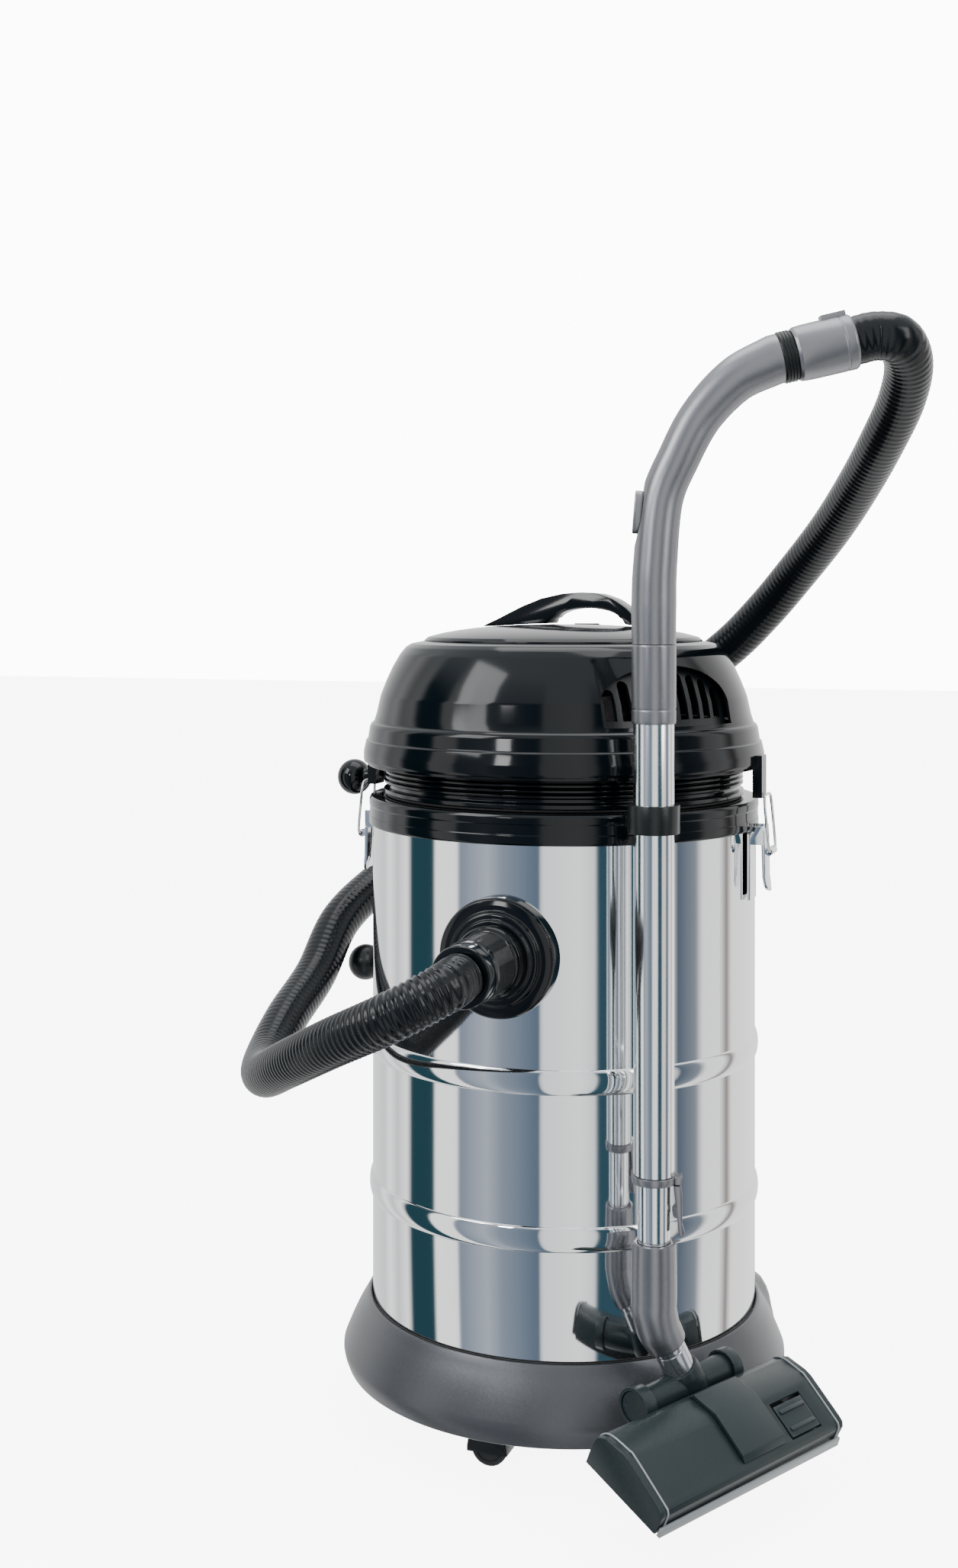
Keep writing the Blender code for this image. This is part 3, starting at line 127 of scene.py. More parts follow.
def make_world():
    """A studio of pale panels with dark gaps between them; plain white where the camera sees it."""
    world = bpy.data.worlds.new("studio")
    bpy.context.scene.world = world
    world.use_nodes = True
    tree = world.node_tree
    tree.nodes.clear()
    add = tree.nodes.new
    out = add("ShaderNodeOutputWorld")
    back = add("ShaderNodeBackground")
    plain = add("ShaderNodeBackground")
    plain.inputs["Color"].default_value = (1, 1, 1, 1)
    plain.inputs["Strength"].default_value = 12.0
    back.inputs["Strength"].default_value = 1.7
    mix = add("ShaderNodeMixShader")
    path = add("ShaderNodeLightPath")
    where = add("ShaderNodeTexCoord")
    turn = add("ShaderNodeMapping")
    turn.inputs["Rotation"].default_value = (0, 0, math.radians(90 - VIEW_BEARING))
    split = add("ShaderNodeSeparateXYZ")
    bearing = add("ShaderNodeMath")
    bearing.operation = "ARCTAN2"
    spread = add("ShaderNodeMapRange")
    spread.inputs["From Min"].default_value = -math.pi
    spread.inputs["From Max"].default_value = math.pi
    ramp = add("ShaderNodeValToRGB")
    marks = ramp.color_ramp.elements
    for k, (degrees, colour) in enumerate(STUDIO_BANDS):
        place = (degrees + 180) / 360
        mark = marks[k] if k < 2 else marks.new(place)
        mark.position = place
        mark.color = (*colour, 1)
    height = add("ShaderNodeMapRange")
    height.inputs["From Min"].default_value = 0.45
    height.inputs["From Max"].default_value = 0.75
    over = add("ShaderNodeMix")
    over.data_type = "RGBA"
    link = tree.links.new
    link(where.outputs["Generated"], turn.inputs["Vector"])
    link(turn.outputs["Vector"], split.inputs["Vector"])
    link(split.outputs["Y"], bearing.inputs[0])
    link(split.outputs["X"], bearing.inputs[1])
    link(bearing.outputs[0], spread.inputs["Value"])
    link(spread.outputs["Result"], ramp.inputs["Fac"])
    link(split.outputs["Z"], height.inputs["Value"])
    link(height.outputs["Result"], over.inputs["Factor"])
    side, overhead = colours(over.inputs)
    overhead.default_value = (0.72, 0.75, 0.78, 1)
    link(ramp.outputs["Color"], side)
    link(colours(over.outputs)[0], back.inputs["Color"])
    link(path.outputs["Is Camera Ray"], mix.inputs["Fac"])
    link(back.outputs[0], mix.inputs[1])
    link(plain.outputs[0], mix.inputs[2])
    link(mix.outputs[0], out.inputs["Surface"])


def make_lights():
    for name, place, size, power in (
            ("key", (-1.3, -1.5, 1.9), (0.9, 1.2), 22), ("fill", (1.9, -0.9, 1.4), (0.6, 1.4), 12),
            ("top", (0.0, 0.2, 2.4), (1.6, 1.2), 16), ("pill", (-0.42, -1.55, 1.05), (0.22, 0.30), 3.0)):
        data = bpy.data.lights.new(name, "AREA")
        data.shape = "RECTANGLE"
        data.size, data.size_y = size
        data.energy = power
        lamp = bpy.data.objects.new(name, data)
        bpy.context.collection.objects.link(lamp)
        lamp.location = AXIS + Vector(place)
        aim = AXIS + Vector((0, 0, 0.5)) - lamp.location
        lamp.rotation_euler = aim.to_track_quat("-Z", "Y").to_euler()


# Materials ----------------------------------------------------------------------------
def surface(name, colour, roughness, metallic=0.0, grain=900.0, bump=0.02, mottle=0.06, scuff=0.08,
            stretch=(1, 1, 1), coat=0.0, coat_roughness=0.08, wear=0.0, wave=None, sheen=0.0, shine=0.5):
    """A material with fine grain, slight colour mottling, uneven gloss and pale worn edges."""
    made = bpy.data.materials.new(name)
    made.use_nodes = True
    tree = made.node_tree
    add, link = tree.nodes.new, tree.links.new
    shader = tree.nodes["Principled BSDF"]
    shader.inputs["Metallic"].default_value = metallic
    shader.inputs["Coat Weight"].default_value = coat
    shader.inputs["Coat Roughness"].default_value = coat_roughness
    shader.inputs["Sheen Weight"].default_value = sheen
    shader.inputs["Specular IOR Level"].default_value = shine
    where = add("ShaderNodeTexCoord")
    place = add("ShaderNodeMapping")
    place.inputs["Scale"].default_value = stretch
    link(where.outputs["Object"], place.inputs["Vector"])
    broad = add("ShaderNodeTexNoise")
    broad.inputs["Scale"].default_value = 14
    broad.inputs["Detail"].default_value = 5
    fine = add("ShaderNodeTexNoise")
    fine.inputs["Scale"].default_value = grain
    fine.inputs["Detail"].default_value = 3
    link(place.outputs["Vector"], broad.inputs["Vector"])
    link(place.outputs["Vector"], fine.inputs["Vector"])
    tint = add("ShaderNodeValToRGB")
    tint.color_ramp.elements[0].position = 0.3
    tint.color_ramp.elements[1].position = 0.7
    tint.color_ramp.elements[0].color = (*[c * (1 - mottle) for c in colour], 1)
    tint.color_ramp.elements[1].color = (*[min(1, c * (1 + mottle)) for c in colour], 1)
    link(broad.outputs["Fac"], tint.inputs["Fac"])
    last = tint.outputs["Color"]
    if wear:
        shape = add("ShaderNodeNewGeometry")
        edge = add("ShaderNodeMapRange")
        edge.inputs["From Min"].default_value = 0.53
        edge.inputs["From Max"].default_value = 0.62
        edge.inputs["To Max"].default_value = wear
        link(shape.outputs["Pointiness"], edge.inputs["Value"])
        worn = add("ShaderNodeMix")
        worn.data_type = "RGBA"
        sound, rubbed = colours(worn.inputs)
        rubbed.default_value = (*[min(1, c * 1.6 + 0.05) for c in colour], 1)
        link(edge.outputs["Result"], worn.inputs["Factor"])
        link(last, sound)
        last = colours(worn.outputs)[0]
    link(last, shader.inputs["Base Color"])
    gloss = add("ShaderNodeMapRange")
    gloss.inputs["To Min"].default_value = max(0.02, roughness * (1 - scuff * 2))
    gloss.inputs["To Max"].default_value = min(1.0, roughness * (1 + scuff * 2))
    link(broad.outputs["Fac"], gloss.inputs["Value"])
    link(gloss.outputs["Result"], shader.inputs["Roughness"])
    relief = add("ShaderNodeBump")
    relief.inputs["Strength"].default_value = bump
    relief.inputs["Distance"].default_value = 0.001
    if wave:
        ripple = add("ShaderNodeTexWave")
        ripple.bands_direction = wave[0]
        ripple.inputs["Scale"].default_value = wave[1]
        ripple.inputs["Distortion"].default_value = 1.5
        link(where.outputs["Object"], ripple.inputs["Vector"])
        blend = add("ShaderNodeMath")
        blend.operation = "ADD"
        link(ripple.outputs["Fac"], blend.inputs[0])
        link(fine.outputs["Fac"], blend.inputs[1])
        link(blend.outputs[0], relief.inputs["Height"])
    else:
        link(fine.outputs["Fac"], relief.inputs["Height"])
    link(relief.outputs["Normal"], shader.inputs["Normal"])
    return made


LOOKS = {
    "steel": surface("polished_steel", (0.86, 0.87, 0.88), 0.055, 1.0, grain=60, bump=0.006, mottle=0.015,
                     scuff=0.25, stretch=(1, 1, 0.2)),
    "chrome": surface("chrome_plate", (0.88, 0.89, 0.90), 0.15, 1.0, grain=80, bump=0.004, mottle=0.01,
                      scuff=0.2),
    "gloss_black": surface("gloss_black_plastic", (0.0015, 0.0035, 0.0050), 0.10, 0.0, grain=40, bump=0.01,
                           mottle=0.25, scuff=0.2, wear=0.02, shine=0.34),
    "matte_black": surface("satin_black_plastic", (0.006, 0.009, 0.010), 0.32, 0.0, grain=1400, bump=0.10,
                           mottle=0.2, wear=0.12, shine=0.4),
    "ring": surface("base_ring_plastic", (0.085, 0.088, 0.095), 0.29, 0.40, grain=1500, bump=0.14,
                    mottle=0.07, wear=0.30),
    "wheel": surface("wheel_rubber", (0.02, 0.021, 0.022), 0.55, 0.0, grain=700, bump=0.25, mottle=0.2,
                     wear=0.2),
    "rubber": surface("black_rubber", (0.015, 0.015, 0.016), 0.6, 0.0, grain=900, bump=0.3, mottle=0.15),
    "motor_metal": surface("cast_metal", (0.38, 0.38, 0.40), 0.4, 1.0, grain=500, bump=0.25, mottle=0.1),
    "white_plastic": surface("white_cage_plastic", (0.70, 0.71, 0.72), 0.4, 0.0, grain=900, bump=0.1,
                             mottle=0.04),
    "filter_cloth": surface("filter_felt", (0.72, 0.70, 0.62), 0.9, 0.0, grain=420, bump=0.8,
                            mottle=0.12, sheen=0.4, wave=("Z", 300)),
    "grey_plastic": surface("metallic_grey_plastic", (0.25, 0.25, 0.265), 0.33, 0.85, grain=2200, bump=0.06,
                            mottle=0.04, wear=0.15),
    "chrome_plastic": surface("polished_swivel", (0.55, 0.56, 0.58), 0.16, 0.9, grain=300, bump=0.02,
                              mottle=0.04),
    "nozzle_dark": surface("nozzle_shell_plastic", (0.016, 0.026, 0.028), 0.30, 0.0, grain=1500, bump=0.10,
                           mottle=0.10, wear=0.5, shine=0.3),
    "light_grey": surface("light_grey_plastic", (0.30, 0.32, 0.33), 0.32, 0.1, grain=1300, bump=0.1,
                          mottle=0.06, wear=0.3),
    "brush": surface("bristles", (0.02, 0.02, 0.02), 0.8, 0.0, grain=2600, bump=1.0, mottle=0.4,
                     wave=("X", 500)),
    "hose": surface("hose_plastic", (0.004, 0.006, 0.008), 0.20, 0.0, grain=900, bump=0.06, mottle=0.2,
                    wear=0.06, shine=0.3),
}


# Mesh helpers -------------------------------------------------------------------------
def piece(name, shape, look, body, *nodes, matrix=None, sharp=32):
    """Turn a bmesh into a piece on a body; it stands for the CAD nodes named."""
    if matrix is not None:
        shape.transform(matrix)
    bmesh.ops.recalc_face_normals(shape, faces=shape.faces[:])
    mesh = bpy.data.meshes.new(name)
    shape.to_mesh(mesh)
    shape.free()
    mesh.shade_smooth()
    mesh.set_sharp_from_angle(angle=math.radians(sharp))
    made = bpy.data.objects.new(name, mesh)
    bpy.context.collection.objects.link(made)
    mesh.materials.append(LOOKS[look])
    if body:
        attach(made, body)
    if nodes:
        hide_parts(*nodes)
    return made


def rounded(outline, radius, steps=3, closed=True):
    """Round the corners of an outline, with less on short edges; points on the axis stay."""
    points = [Vector((a, b)) for a, b in outline]
    count = len(points)
    out = []
    for k, point in enumerate(points):
        if point.x < 1e-6 or (not closed and k in (0, count - 1)):
            out.append(tuple(point))
            continue
        before, after = points[k - 1] - point, points[(k + 1) % count] - point
        if before.length < 1e-7 or after.length < 1e-7 or before.angle(after) > math.radians(172):
            out.append(tuple(point))
            continue
        cut = min(radius, before.length * 0.45, after.length * 0.45)
        start, end = point + before.normalized() * cut, point + after.normalized() * cut
        for step in range(steps + 1):
            t = step / steps
            out.append(tuple(start * (1 - t) ** 2 + point * 2 * t * (1 - t) + end * t * t))
    return out


def arc(centre, radii, start, end, steps):
    turns = [math.radians(start + (end - start) * step / steps) for step in range(steps + 1)]
    return [(centre[0] + radii[0] * math.cos(turn), centre[1] + radii[1] * math.sin(turn)) for turn in turns]


def turned_shape(outline, sides):
    """Turn a closed (radius, height) outline about Z."""
    shape = bmesh.new()
    poles = {}
    for k, (radius, height) in enumerate(outline):
        if radius < 1e-6:
            poles[k] = shape.verts.new((0, 0, height))
    rings = []
    for step in range(sides):
        turn = 2 * math.pi * step / sides
        ring = []
        for k, (radius, height) in enumerate(outline):
            corner = (radius * math.cos(turn), radius * math.sin(turn), height)
            ring.append(poles[k] if k in poles else shape.verts.new(corner))
        rings.append(ring)
    for step in range(sides):
        here, there = rings[step], rings[(step + 1) % sides]
        for k in range(len(outline)):
            after = (k + 1) % len(outline)
            corners = []
            for corner in (here[k], here[after], there[after], there[k]):
                if corner not in corners:
                    corners.append(corner)
            if len(corners) > 2:
                shape.faces.new(corners)
    return shape


def lathe(name, outline, look, body, *nodes, matrix=AT_AXIS, sides=ROUND, soft=0.0008):
    shape = turned_shape(rounded(outline, soft) if soft else outline, sides)
    return piece(name, shape, look, body, *nodes, matrix=matrix)


def placed(shape, matrix):
    shape.transform(matrix)
    bmesh.ops.recalc_face_normals(shape, faces=shape.faces[:])
    return shape


def aimed(place, away):
    """Matrix that stands a turned shape at a place with its axis along a direction."""
    return Matrix.Translation(place) @ away.to_track_quat("Z", "Y").to_matrix().to_4x4()


def tube(inner, outer, low, high):
    return ((inner, low), (outer, low), (outer, high), (inner, high))


def prism_shape(outline, low, high):
    """A flat (x, z) outline carried along Y."""
    shape = bmesh.new()
    near = [shape.verts.new((a, low, b)) for a, b in outline]
    far = [shape.verts.new((a, high, b)) for a, b in outline]
    count = len(outline)
    for k in range(count):
        shape.faces.new((near[k], near[(k + 1) % count], far[(k + 1) % count], far[k]))
    shape.faces.new(near)
    shape.faces.new(far)
    bmesh.ops.recalc_face_normals(shape, faces=shape.faces[:])
    return shape


def box_shape(low, high):
    return prism_shape(((low[0], low[2]), (high[0], low[2]), (high[0], high[2]), (low[0], high[2])),
                       low[1], high[1])


def settle(made):
    """Apply a piece's modifiers to its mesh."""
    bpy.context.view_layer.update()
    evaluated = made.evaluated_get(bpy.context.evaluated_depsgraph_get())
    mesh = bpy.data.meshes.new_from_object(evaluated)
    made.modifiers.clear()
    made.data = mesh


def bevelled(made, width, segments=2, angle=30):
    step = made.modifiers.new("soften", "BEVEL")
    step.width = width
    step.segments = segments
    step.limit_method = "ANGLE"
    step.angle_limit = math.radians(angle)
    settle(made)
    made.data.shade_smooth()
    made.data.set_sharp_from_angle(angle=math.radians(50))


def cut(made, shape, operation="DIFFERENCE"):
    """Cut or join a helper shape with a piece, for good."""
    mesh = bpy.data.meshes.new("cutter")
    shape.to_mesh(mesh)
    shape.free()
    cutter = bpy.data.objects.new("cutter", mesh)
    bpy.context.collection.objects.link(cutter)
    step = made.modifiers.new("cut", "BOOLEAN")
    step.operation = operation
    step.object = cutter
    settle(made)
    bpy.data.objects.remove(cutter, do_unlink=True)
    bpy.data.meshes.remove(mesh)
    made.data.set_sharp_from_angle(angle=math.radians(32))


def node_shape(node):
    """A copy of a CAD node's mesh in place, with its corners joined."""
    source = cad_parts[node]
    shape = bmesh.new()
    shape.from_mesh(source.data)
    shape.transform(source.matrix_world)
    bmesh.ops.remove_doubles(shape, verts=shape.verts[:], dist=0.00002)
    return shape


def refined(node, look, body, width=0.0006, segments=2):
    """A finer copy of a CAD node: flat faces made whole again and every edge rounded."""
    shape = node_shape(node)
    bmesh.ops.dissolve_limit(shape, angle_limit=math.radians(1.5), verts=shape.verts[:], edges=shape.edges[:])
    bevelled(piece(node + "_fine", shape, look, body, node), width, segments)


def smooth_path(points, spacing):
    """Points at even steps along a Catmull-Rom curve through the given ones, and its length."""
    knots = [Vector(point) for point in points]
    fine = []
    for k in range(len(knots) - 1):
        before = knots[k - 1] if k else knots[0] * 2 - knots[1]
        start, end = knots[k], knots[k + 1]
        after = knots[k + 2] if k + 2 < len(knots) else end * 2 - start
        for step in range(PER_KNOT):
            t = step / PER_KNOT
            square = (2 * before - 5 * start + 4 * end - after) * t * t
            cube = (3 * start - before - 3 * end + after) * t ** 3
            fine.append(0.5 * (2 * start + (end - before) * t + square + cube))
    fine.append(knots[-1])
    lengths = [0.0]
    for here, there in zip(fine, fine[1:]):
        lengths.append(lengths[-1] + (there - here).length)
    count = max(2, round(lengths[-1] / spacing))
    even = []
    k = 0
    for step in range(count + 1):
        wanted = lengths[-1] * step / count
        while k < len(fine) - 2 and lengths[k + 1] < wanted:
            k += 1
        even.append(fine[k].lerp(fine[k + 1],
                                 min(1.0, (wanted - lengths[k]) / (lengths[k + 1] - lengths[k]))))
    return even, lengths[-1]


def swept_shape(path, radius_at, sides):
    """Round sections square to a path; radius_at(k) gives the radius at its k-th point."""
    shape = bmesh.new()
    side = None
    rings = []
    for k, point in enumerate(path):
        ahead = (path[min(k + 1, len(path) - 1)] - path[max(k - 1, 0)]).normalized()
        side = ahead.orthogonal() if side is None else side
        side = (side - ahead * side.dot(ahead)).normalized()
        other = ahead.cross(side)
        ring = []
        for step in range(sides):
            turn = 2 * math.pi * step / sides
            offset = side * math.cos(turn) + other * math.sin(turn)
            ring.append(shape.verts.new(point + offset * radius_at(k)))
        rings.append(ring)
    for here, there in zip(rings, rings[1:]):
        for step in range(sides):
            after = (step + 1) % sides
            shape.faces.new((here[step], here[after], there[after], there[step]))
    shape.faces.new(rings[0])
    shape.faces.new(rings[-1])
    return shape


# Hose -----------------------------------------------------------------------------------
HOSE_D = 0.040
HOSE_ROUTE = (        # round the drum's axis, from the port connector to the handle's cuff
    (0.000, -0.2695, 0.432), (-0.004, -0.302, 0.428), (-0.040, -0.318, 0.408),
    (-0.100, -0.292, 0.378), (-0.165, -0.238, 0.343), (-0.212, -0.185, 0.318),
    (-0.236, -0.135, 0.318), (-0.243, -0.080, 0.342), (-0.242, -0.020, 0.371),
    (-0.240, 0.035, 0.4145), (-0.222, 0.098, 0.447), (-0.182, 0.157, 0.487),
    (-0.122, 0.200, 0.532), (-0.050, 0.224, 0.578), (0.030, 0.227, 0.626),
    (0.104, 0.210, 0.678), (0.147, 0.190, 0.716), (0.188, 0.158, 0.757),
    (0.228, 0.112, 0.797), (0.263, 0.055, 0.835), (0.291, 0.000, 0.868),
    (0.312, -0.044, 0.897), (0.3225, -0.083, 0.922), (0.318, -0.111, 0.938),
    (0.3010, -0.1182, 0.9410), (0.2846, -0.1238, 0.9372),
)
RIB_PITCH = 0.0058
PER_RIB = 6           # rings of the hose's mesh for each rib


def make_hose():
    route = [AXIS + Vector(point) for point in HOSE_ROUTE]
    path, length = smooth_path(route, RIB_PITCH / PER_RIB)

    def radius_at(k):
        along = k * RIB_PITCH / PER_RIB
        worn = 0.18 + 0.82 * max(0.0, 1 - along / 0.40)      # the ribs soften away from the port
        return HOSE_D / 2 - 0.0014 * worn * (0.5 - 0.5 * math.cos(2 * math.pi * k / PER_RIB))

    hose = piece("hose_corrugated", swept_shape(path, radius_at, 28), "hose", None, "hose", sharp=80)
    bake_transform(hose)


# Base -----------------------------------------------------------------------------------
BASE_PROFILE = (      # (radius, height): lip, sloping side, foot, back up inside, and the pan
    (0.1757, 0.0966), (0.1766, 0.0972), (0.1785, 0.0968), (0.1798, 0.0952), (0.1815, 0.0918),
    (0.1850, 0.0862), (0.1888, 0.0796), (0.1928, 0.0716), (0.1966, 0.0632), (0.1994, 0.0566),
    (0.2012, 0.0520), (0.2014, 0.0490), (0.2004, 0.0440), (0.1988, 0.0398), (0.1978, 0.0372),
    (0.1962, 0.0361), (0.1938, 0.0361), (0.1930, 0.0372), (0.1960, 0.0420), (0.1975, 0.0500),
    (0.1945, 0.0580), (0.1855, 0.0770), (0.1800, 0.0860), (0.1790, 0.0445), (0.1200, 0.0445),
    (0.0, 0.0445), (0.0, 0.0475), (0.1757, 0.0475),
)
WHEEL = Vector((0.143, 0.120, 0.022))


def make_base():
    arch_bearing, arch_half = 130, 13                    # degrees from the front
    shape = turned_shape(BASE_PROFILE, ROUND)
    for vert in shape.verts:          # arches over the rear wheels swell out of the ring's slope
        radius = math.hypot(vert.co.x, vert.co.y)
        if radius < 0.1795 or vert.co.z < 0.0375:
            continue
        bearing = math.degrees(math.atan2(abs(vert.co.x), -vert.co.y))
        near = max(0.0, 1 - ((bearing - arch_bearing) / arch_half) ** 2)
        near = near * near * (3 - 2 * near)
        slope = max(0.0, min(1.0, (vert.co.z - 0.040) / 0.036))
        swell = 1 + near * (0.0030 + 0.0105 * slope * (1 - max(0.0, vert.co.z - 0.086) / 0.012)) / radius
        vert.co.x *= swell
        vert.co.y *= swell
    ring = piece("base_ring_fine", shape, "ring", "base", "base_ring", matrix=AT_AXIS, sharp=50)
    for side in (1, -1):
        centre = AXIS + Vector((side * WHEEL.x, WHEEL.y, 0))
        half = Vector((0.0125, 0.0265, 0))
        cut(ring, box_shape(centre - half + Vector((0, 0, 0.020)), centre + half + Vector((0, 0, 0.0462))))
    lip = tube(0.1757, 0.1768, 0.0973, 0.0982)
    lathe("base_lip", lip, "rubber", "base", soft=0.0003)


def make_wheels():
    half = 0.009
    for side, word in ((1, "right"), (-1, "left")):
        hub = (Matrix.Translation(AXIS + Vector((side * WHEEL.x, WHEEL.y, WHEEL.z)))
               @ Matrix.Rotation(math.pi / 2, 4, "Y"))
        tyre = [(0.0030, -half), (0.0068, -half), (0.0076, -half + 0.0018), (0.0148, -half + 0.0018),
                (0.0160, -half), (0.0200, -half), (0.0216, -half + 0.0016), (0.0220, -half + 0.0045),
                (0.0213, -0.0012), (0.0213, 0.0012), (0.0220, half - 0.0045), (0.0216, half - 0.0016),
                (0.0200, half), (0.0160, half), (0.0148, half - 0.0018), (0.0076, half - 0.0018),
                (0.0068, half), (0.0030, half)]
        lathe("rear_wheel_fine_" + word, tyre, "wheel", "wheel_" + word, "rear_wheel_" + word,
              matrix=hub, sides=56, soft=0.0005)
        refined("rear_axle_" + word, "matte_black", "base", 0.0005)
    hub = Matrix.Translation(AXIS + Vector((-0.014, -0.155, 0.016))) @ TO_FRONT
    tyre = [(0.0026, -0.0095), (0.0058, -0.0095), (0.0066, -0.0082), (0.0108, -0.0082), (0.0116, -0.0095),
            (0.0140, -0.0095), (0.0158, -0.0080), (0.0160, -0.0050), (0.0155, -0.0012), (0.0155, 0.0012),
            (0.0160, 0.0050), (0.0158, 0.0080), (0.0140, 0.0095), (0.0116, 0.0095), (0.0108, 0.0082),
            (0.0066, 0.0082), (0.0058, 0.0095), (0.0026, 0.0095)]
    lathe("caster_wheel_fine", tyre, "wheel", "caster_wheel", "front_caster_wheel", matrix=hub, sides=48,
          soft=0.0004)
    refined("front_caster_fork", "matte_black", "caster", 0.0007, 3)
    lathe("caster_socket_fine", (
        (0.0066, 0.0366), (0.0150, 0.0366), (0.0165, 0.040), (0.0165, 0.0441), (0.0066, 0.0441)),
        "matte_black", "base", "caster_socket",
        matrix=Matrix.Translation(AXIS + Vector((0, -0.155, 0))), sides=48)


# Drum and port --------------------------------------------------------------------------
def make_drum():
    outer = [(DRUM_R, 0.548)]
    for bead in BEADS:
        outer += [(DRUM_R, bead + 0.0125)]
        for step in range(13):
            turn = math.pi * step / 12
            outer.append((DRUM_R + 0.0028 * math.sin(turn) ** 1.3, bead + 0.0105 * math.cos(turn)))
        outer += [(DRUM_R, bead - 0.0125)]
    outer += [(DRUM_R, 0.062), (0.1742, 0.0565), (0.1712, 0.0515), (0.1670, 0.0490), (0.1620, 0.0480),
              (0.0, 0.0480)]
    inner = [(0.0, 0.0494), (0.1610, 0.0494), (0.1700, 0.0530), (0.1736, 0.0605), (0.1736, 0.548)]
    drum = piece("drum_fine", turned_shape(outer + inner, DRUM_SIDES), "steel", "base", "drum",
                 matrix=AT_AXIS, sharp=50)
    bore = turned_shape(((0, 0.14), (0.0236, 0.14), (0.0236, 0.20), (0, 0.20)), 64)
    cut(drum, placed(bore, AT_PORT))
    seam = arc((0, 0), (0.1753, 0.1753), 29.2, 30.8, 4) + arc((0, 0), (0.1738, 0.1738), 30.8, 29.2, 4)
    strip = bmesh.new()
    low = [strip.verts.new((a, b, 0.100)) for a, b in seam]
    high = [strip.verts.new((a, b, 0.524)) for a, b in seam]
    for k in range(len(seam)):
        strip.faces.new((low[k], low[(k + 1) % len(seam)], high[(k + 1) % len(seam)], high[k]))
    strip.faces.new(low)
    strip.faces.new(high)
    piece("drum_seam", strip, "steel", "base", matrix=AT_AXIS)
    lathe("rim_band_fine", (
        (0.1755, 0.5250), (0.1776, 0.5250), (0.1783, 0.5266), (0.1783, 0.5330), (0.1778, 0.5340),
        (0.1778, 0.5420), (0.1783, 0.5430), (0.1783, 0.5480), (0.1768, 0.5508), (0.1500, 0.5508),
        (0.1500, 0.5484), (0.1755, 0.5484)),
        "gloss_black", "base", "rim_band")
    lathe("gasket_fine", tube(0.151, 0.163, 0.5512, 0.5534), "rubber", "base", "drum_gasket")


def make_port():
    flange = lathe("port_flange_fine", (
        (0.0238, 0.160), (0.0505, 0.160), (0.0505, 0.1838), (0.0490, 0.1866), (0.0440, 0.1880),
        (0.0405, 0.1882), (0.0396, 0.1890), (0.0388, 0.1912), (0.0370, 0.1922), (0.0335, 0.1926),
        (0.0327, 0.1946), (0.0310, 0.1950), (0.0238, 0.1950)),
        "gloss_black", "base", "port_flange", matrix=AT_PORT, sides=96)
    drum_side = turned_shape(((0, 0.3), (0.1757, 0.3), (0.1757, 0.55), (0, 0.55)), DRUM_SIDES)
    cut(flange, placed(drum_side, AT_AXIS))
    ribs = []
    for k in range(9):
        start = 0.2110 + k * 0.0040
        ribs += [(0.0256, start), (0.0262, start + 0.0008), (0.0262, start + 0.0020),
                 (0.0254, start + 0.0028)]
    lathe("hose_connector_fine", [
        (0.0172, 0.1700), (0.0205, 0.1700), (0.0205, 0.1954), (0.0290, 0.1954), (0.0299, 0.1966),
        (0.0299, 0.2040), (0.0285, 0.2060), (0.0266, 0.2074)] + ribs + [
        (0.0247, 0.2500), (0.0247, 0.2555), (0.0254, 0.2575), (0.0254, 0.2670), (0.0245, 0.2689),
        (0.0205, 0.2691), (0.0172, 0.2691)],
        "gloss_black", "connector", "hose_connector", matrix=AT_PORT, sides=72, soft=0.0004)
    lathe("inlet_deflector_fine", (
        (0.0212, 0.142), (0.0230, 0.142), (0.0230, 0.1655), (0.0290, 0.1655), (0.0290, 0.1680),
        (0.0230, 0.1680), (0.0230, 0.1900), (0.0212, 0.1900)),
        "matte_black", "base", "inlet_deflector", matrix=AT_PORT, sides=64, soft=0.0004)


def make_latches():
    for word in ("right", "left"):
        refined("latch_plate_" + word, "steel", "base", 0.0004)
        refined("latch_lever_" + word, "steel", "lever_" + word, 0.0005)
        bail = "latch_bail_" + word
        wire = piece("latch_bail_fine_" + word, node_shape(bail), "chrome", "bail_" + word, bail, sharp=180)
        smooth = wire.modifiers.new("smooth", "SUBSURF")
        smooth.levels = 2
        smooth.render_levels = 2
        settle(wire)


def make_hooks():
    out = Vector((math.sin(HOOK_BEARING), -math.cos(HOOK_BEARING), 0))
    for name, height, start, tilt, flange, reach, look, body in (
            ("cord_hook_lower", 0.373, 0.1768, 0.0, 0.0150, 0.0, "matte_black", "base"),
            ("cord_hook_upper", 0.5630, 0.1664, math.radians(-7), 0, 0.024, "gloss_black", "head")):
        outline = [(0, 0)]
        if flange:
            outline += [(flange, 0), (flange, 0.0016), (0.0130, 0.0026), (0.0085, 0.0036)]
        else:
            outline += [(0.0062, 0)]
        outline += [(0.0062, 0.012), (0.0060, 0.020 + reach), (0.0068, 0.0275 + reach)]
        outline += arc((0, 0.044 + reach), (0.0175, 0.0165), -64, 62, 20) + [(0, 0.0604 + reach)]
        away = out * math.cos(tilt) + Vector((0, 0, math.sin(tilt)))
        matrix = aimed(AXIS + out * start + Vector((0, 0, height)), away)
        lathe(name + "_fine", outline, look, body, name, matrix=matrix, sides=48, soft=0.0006)


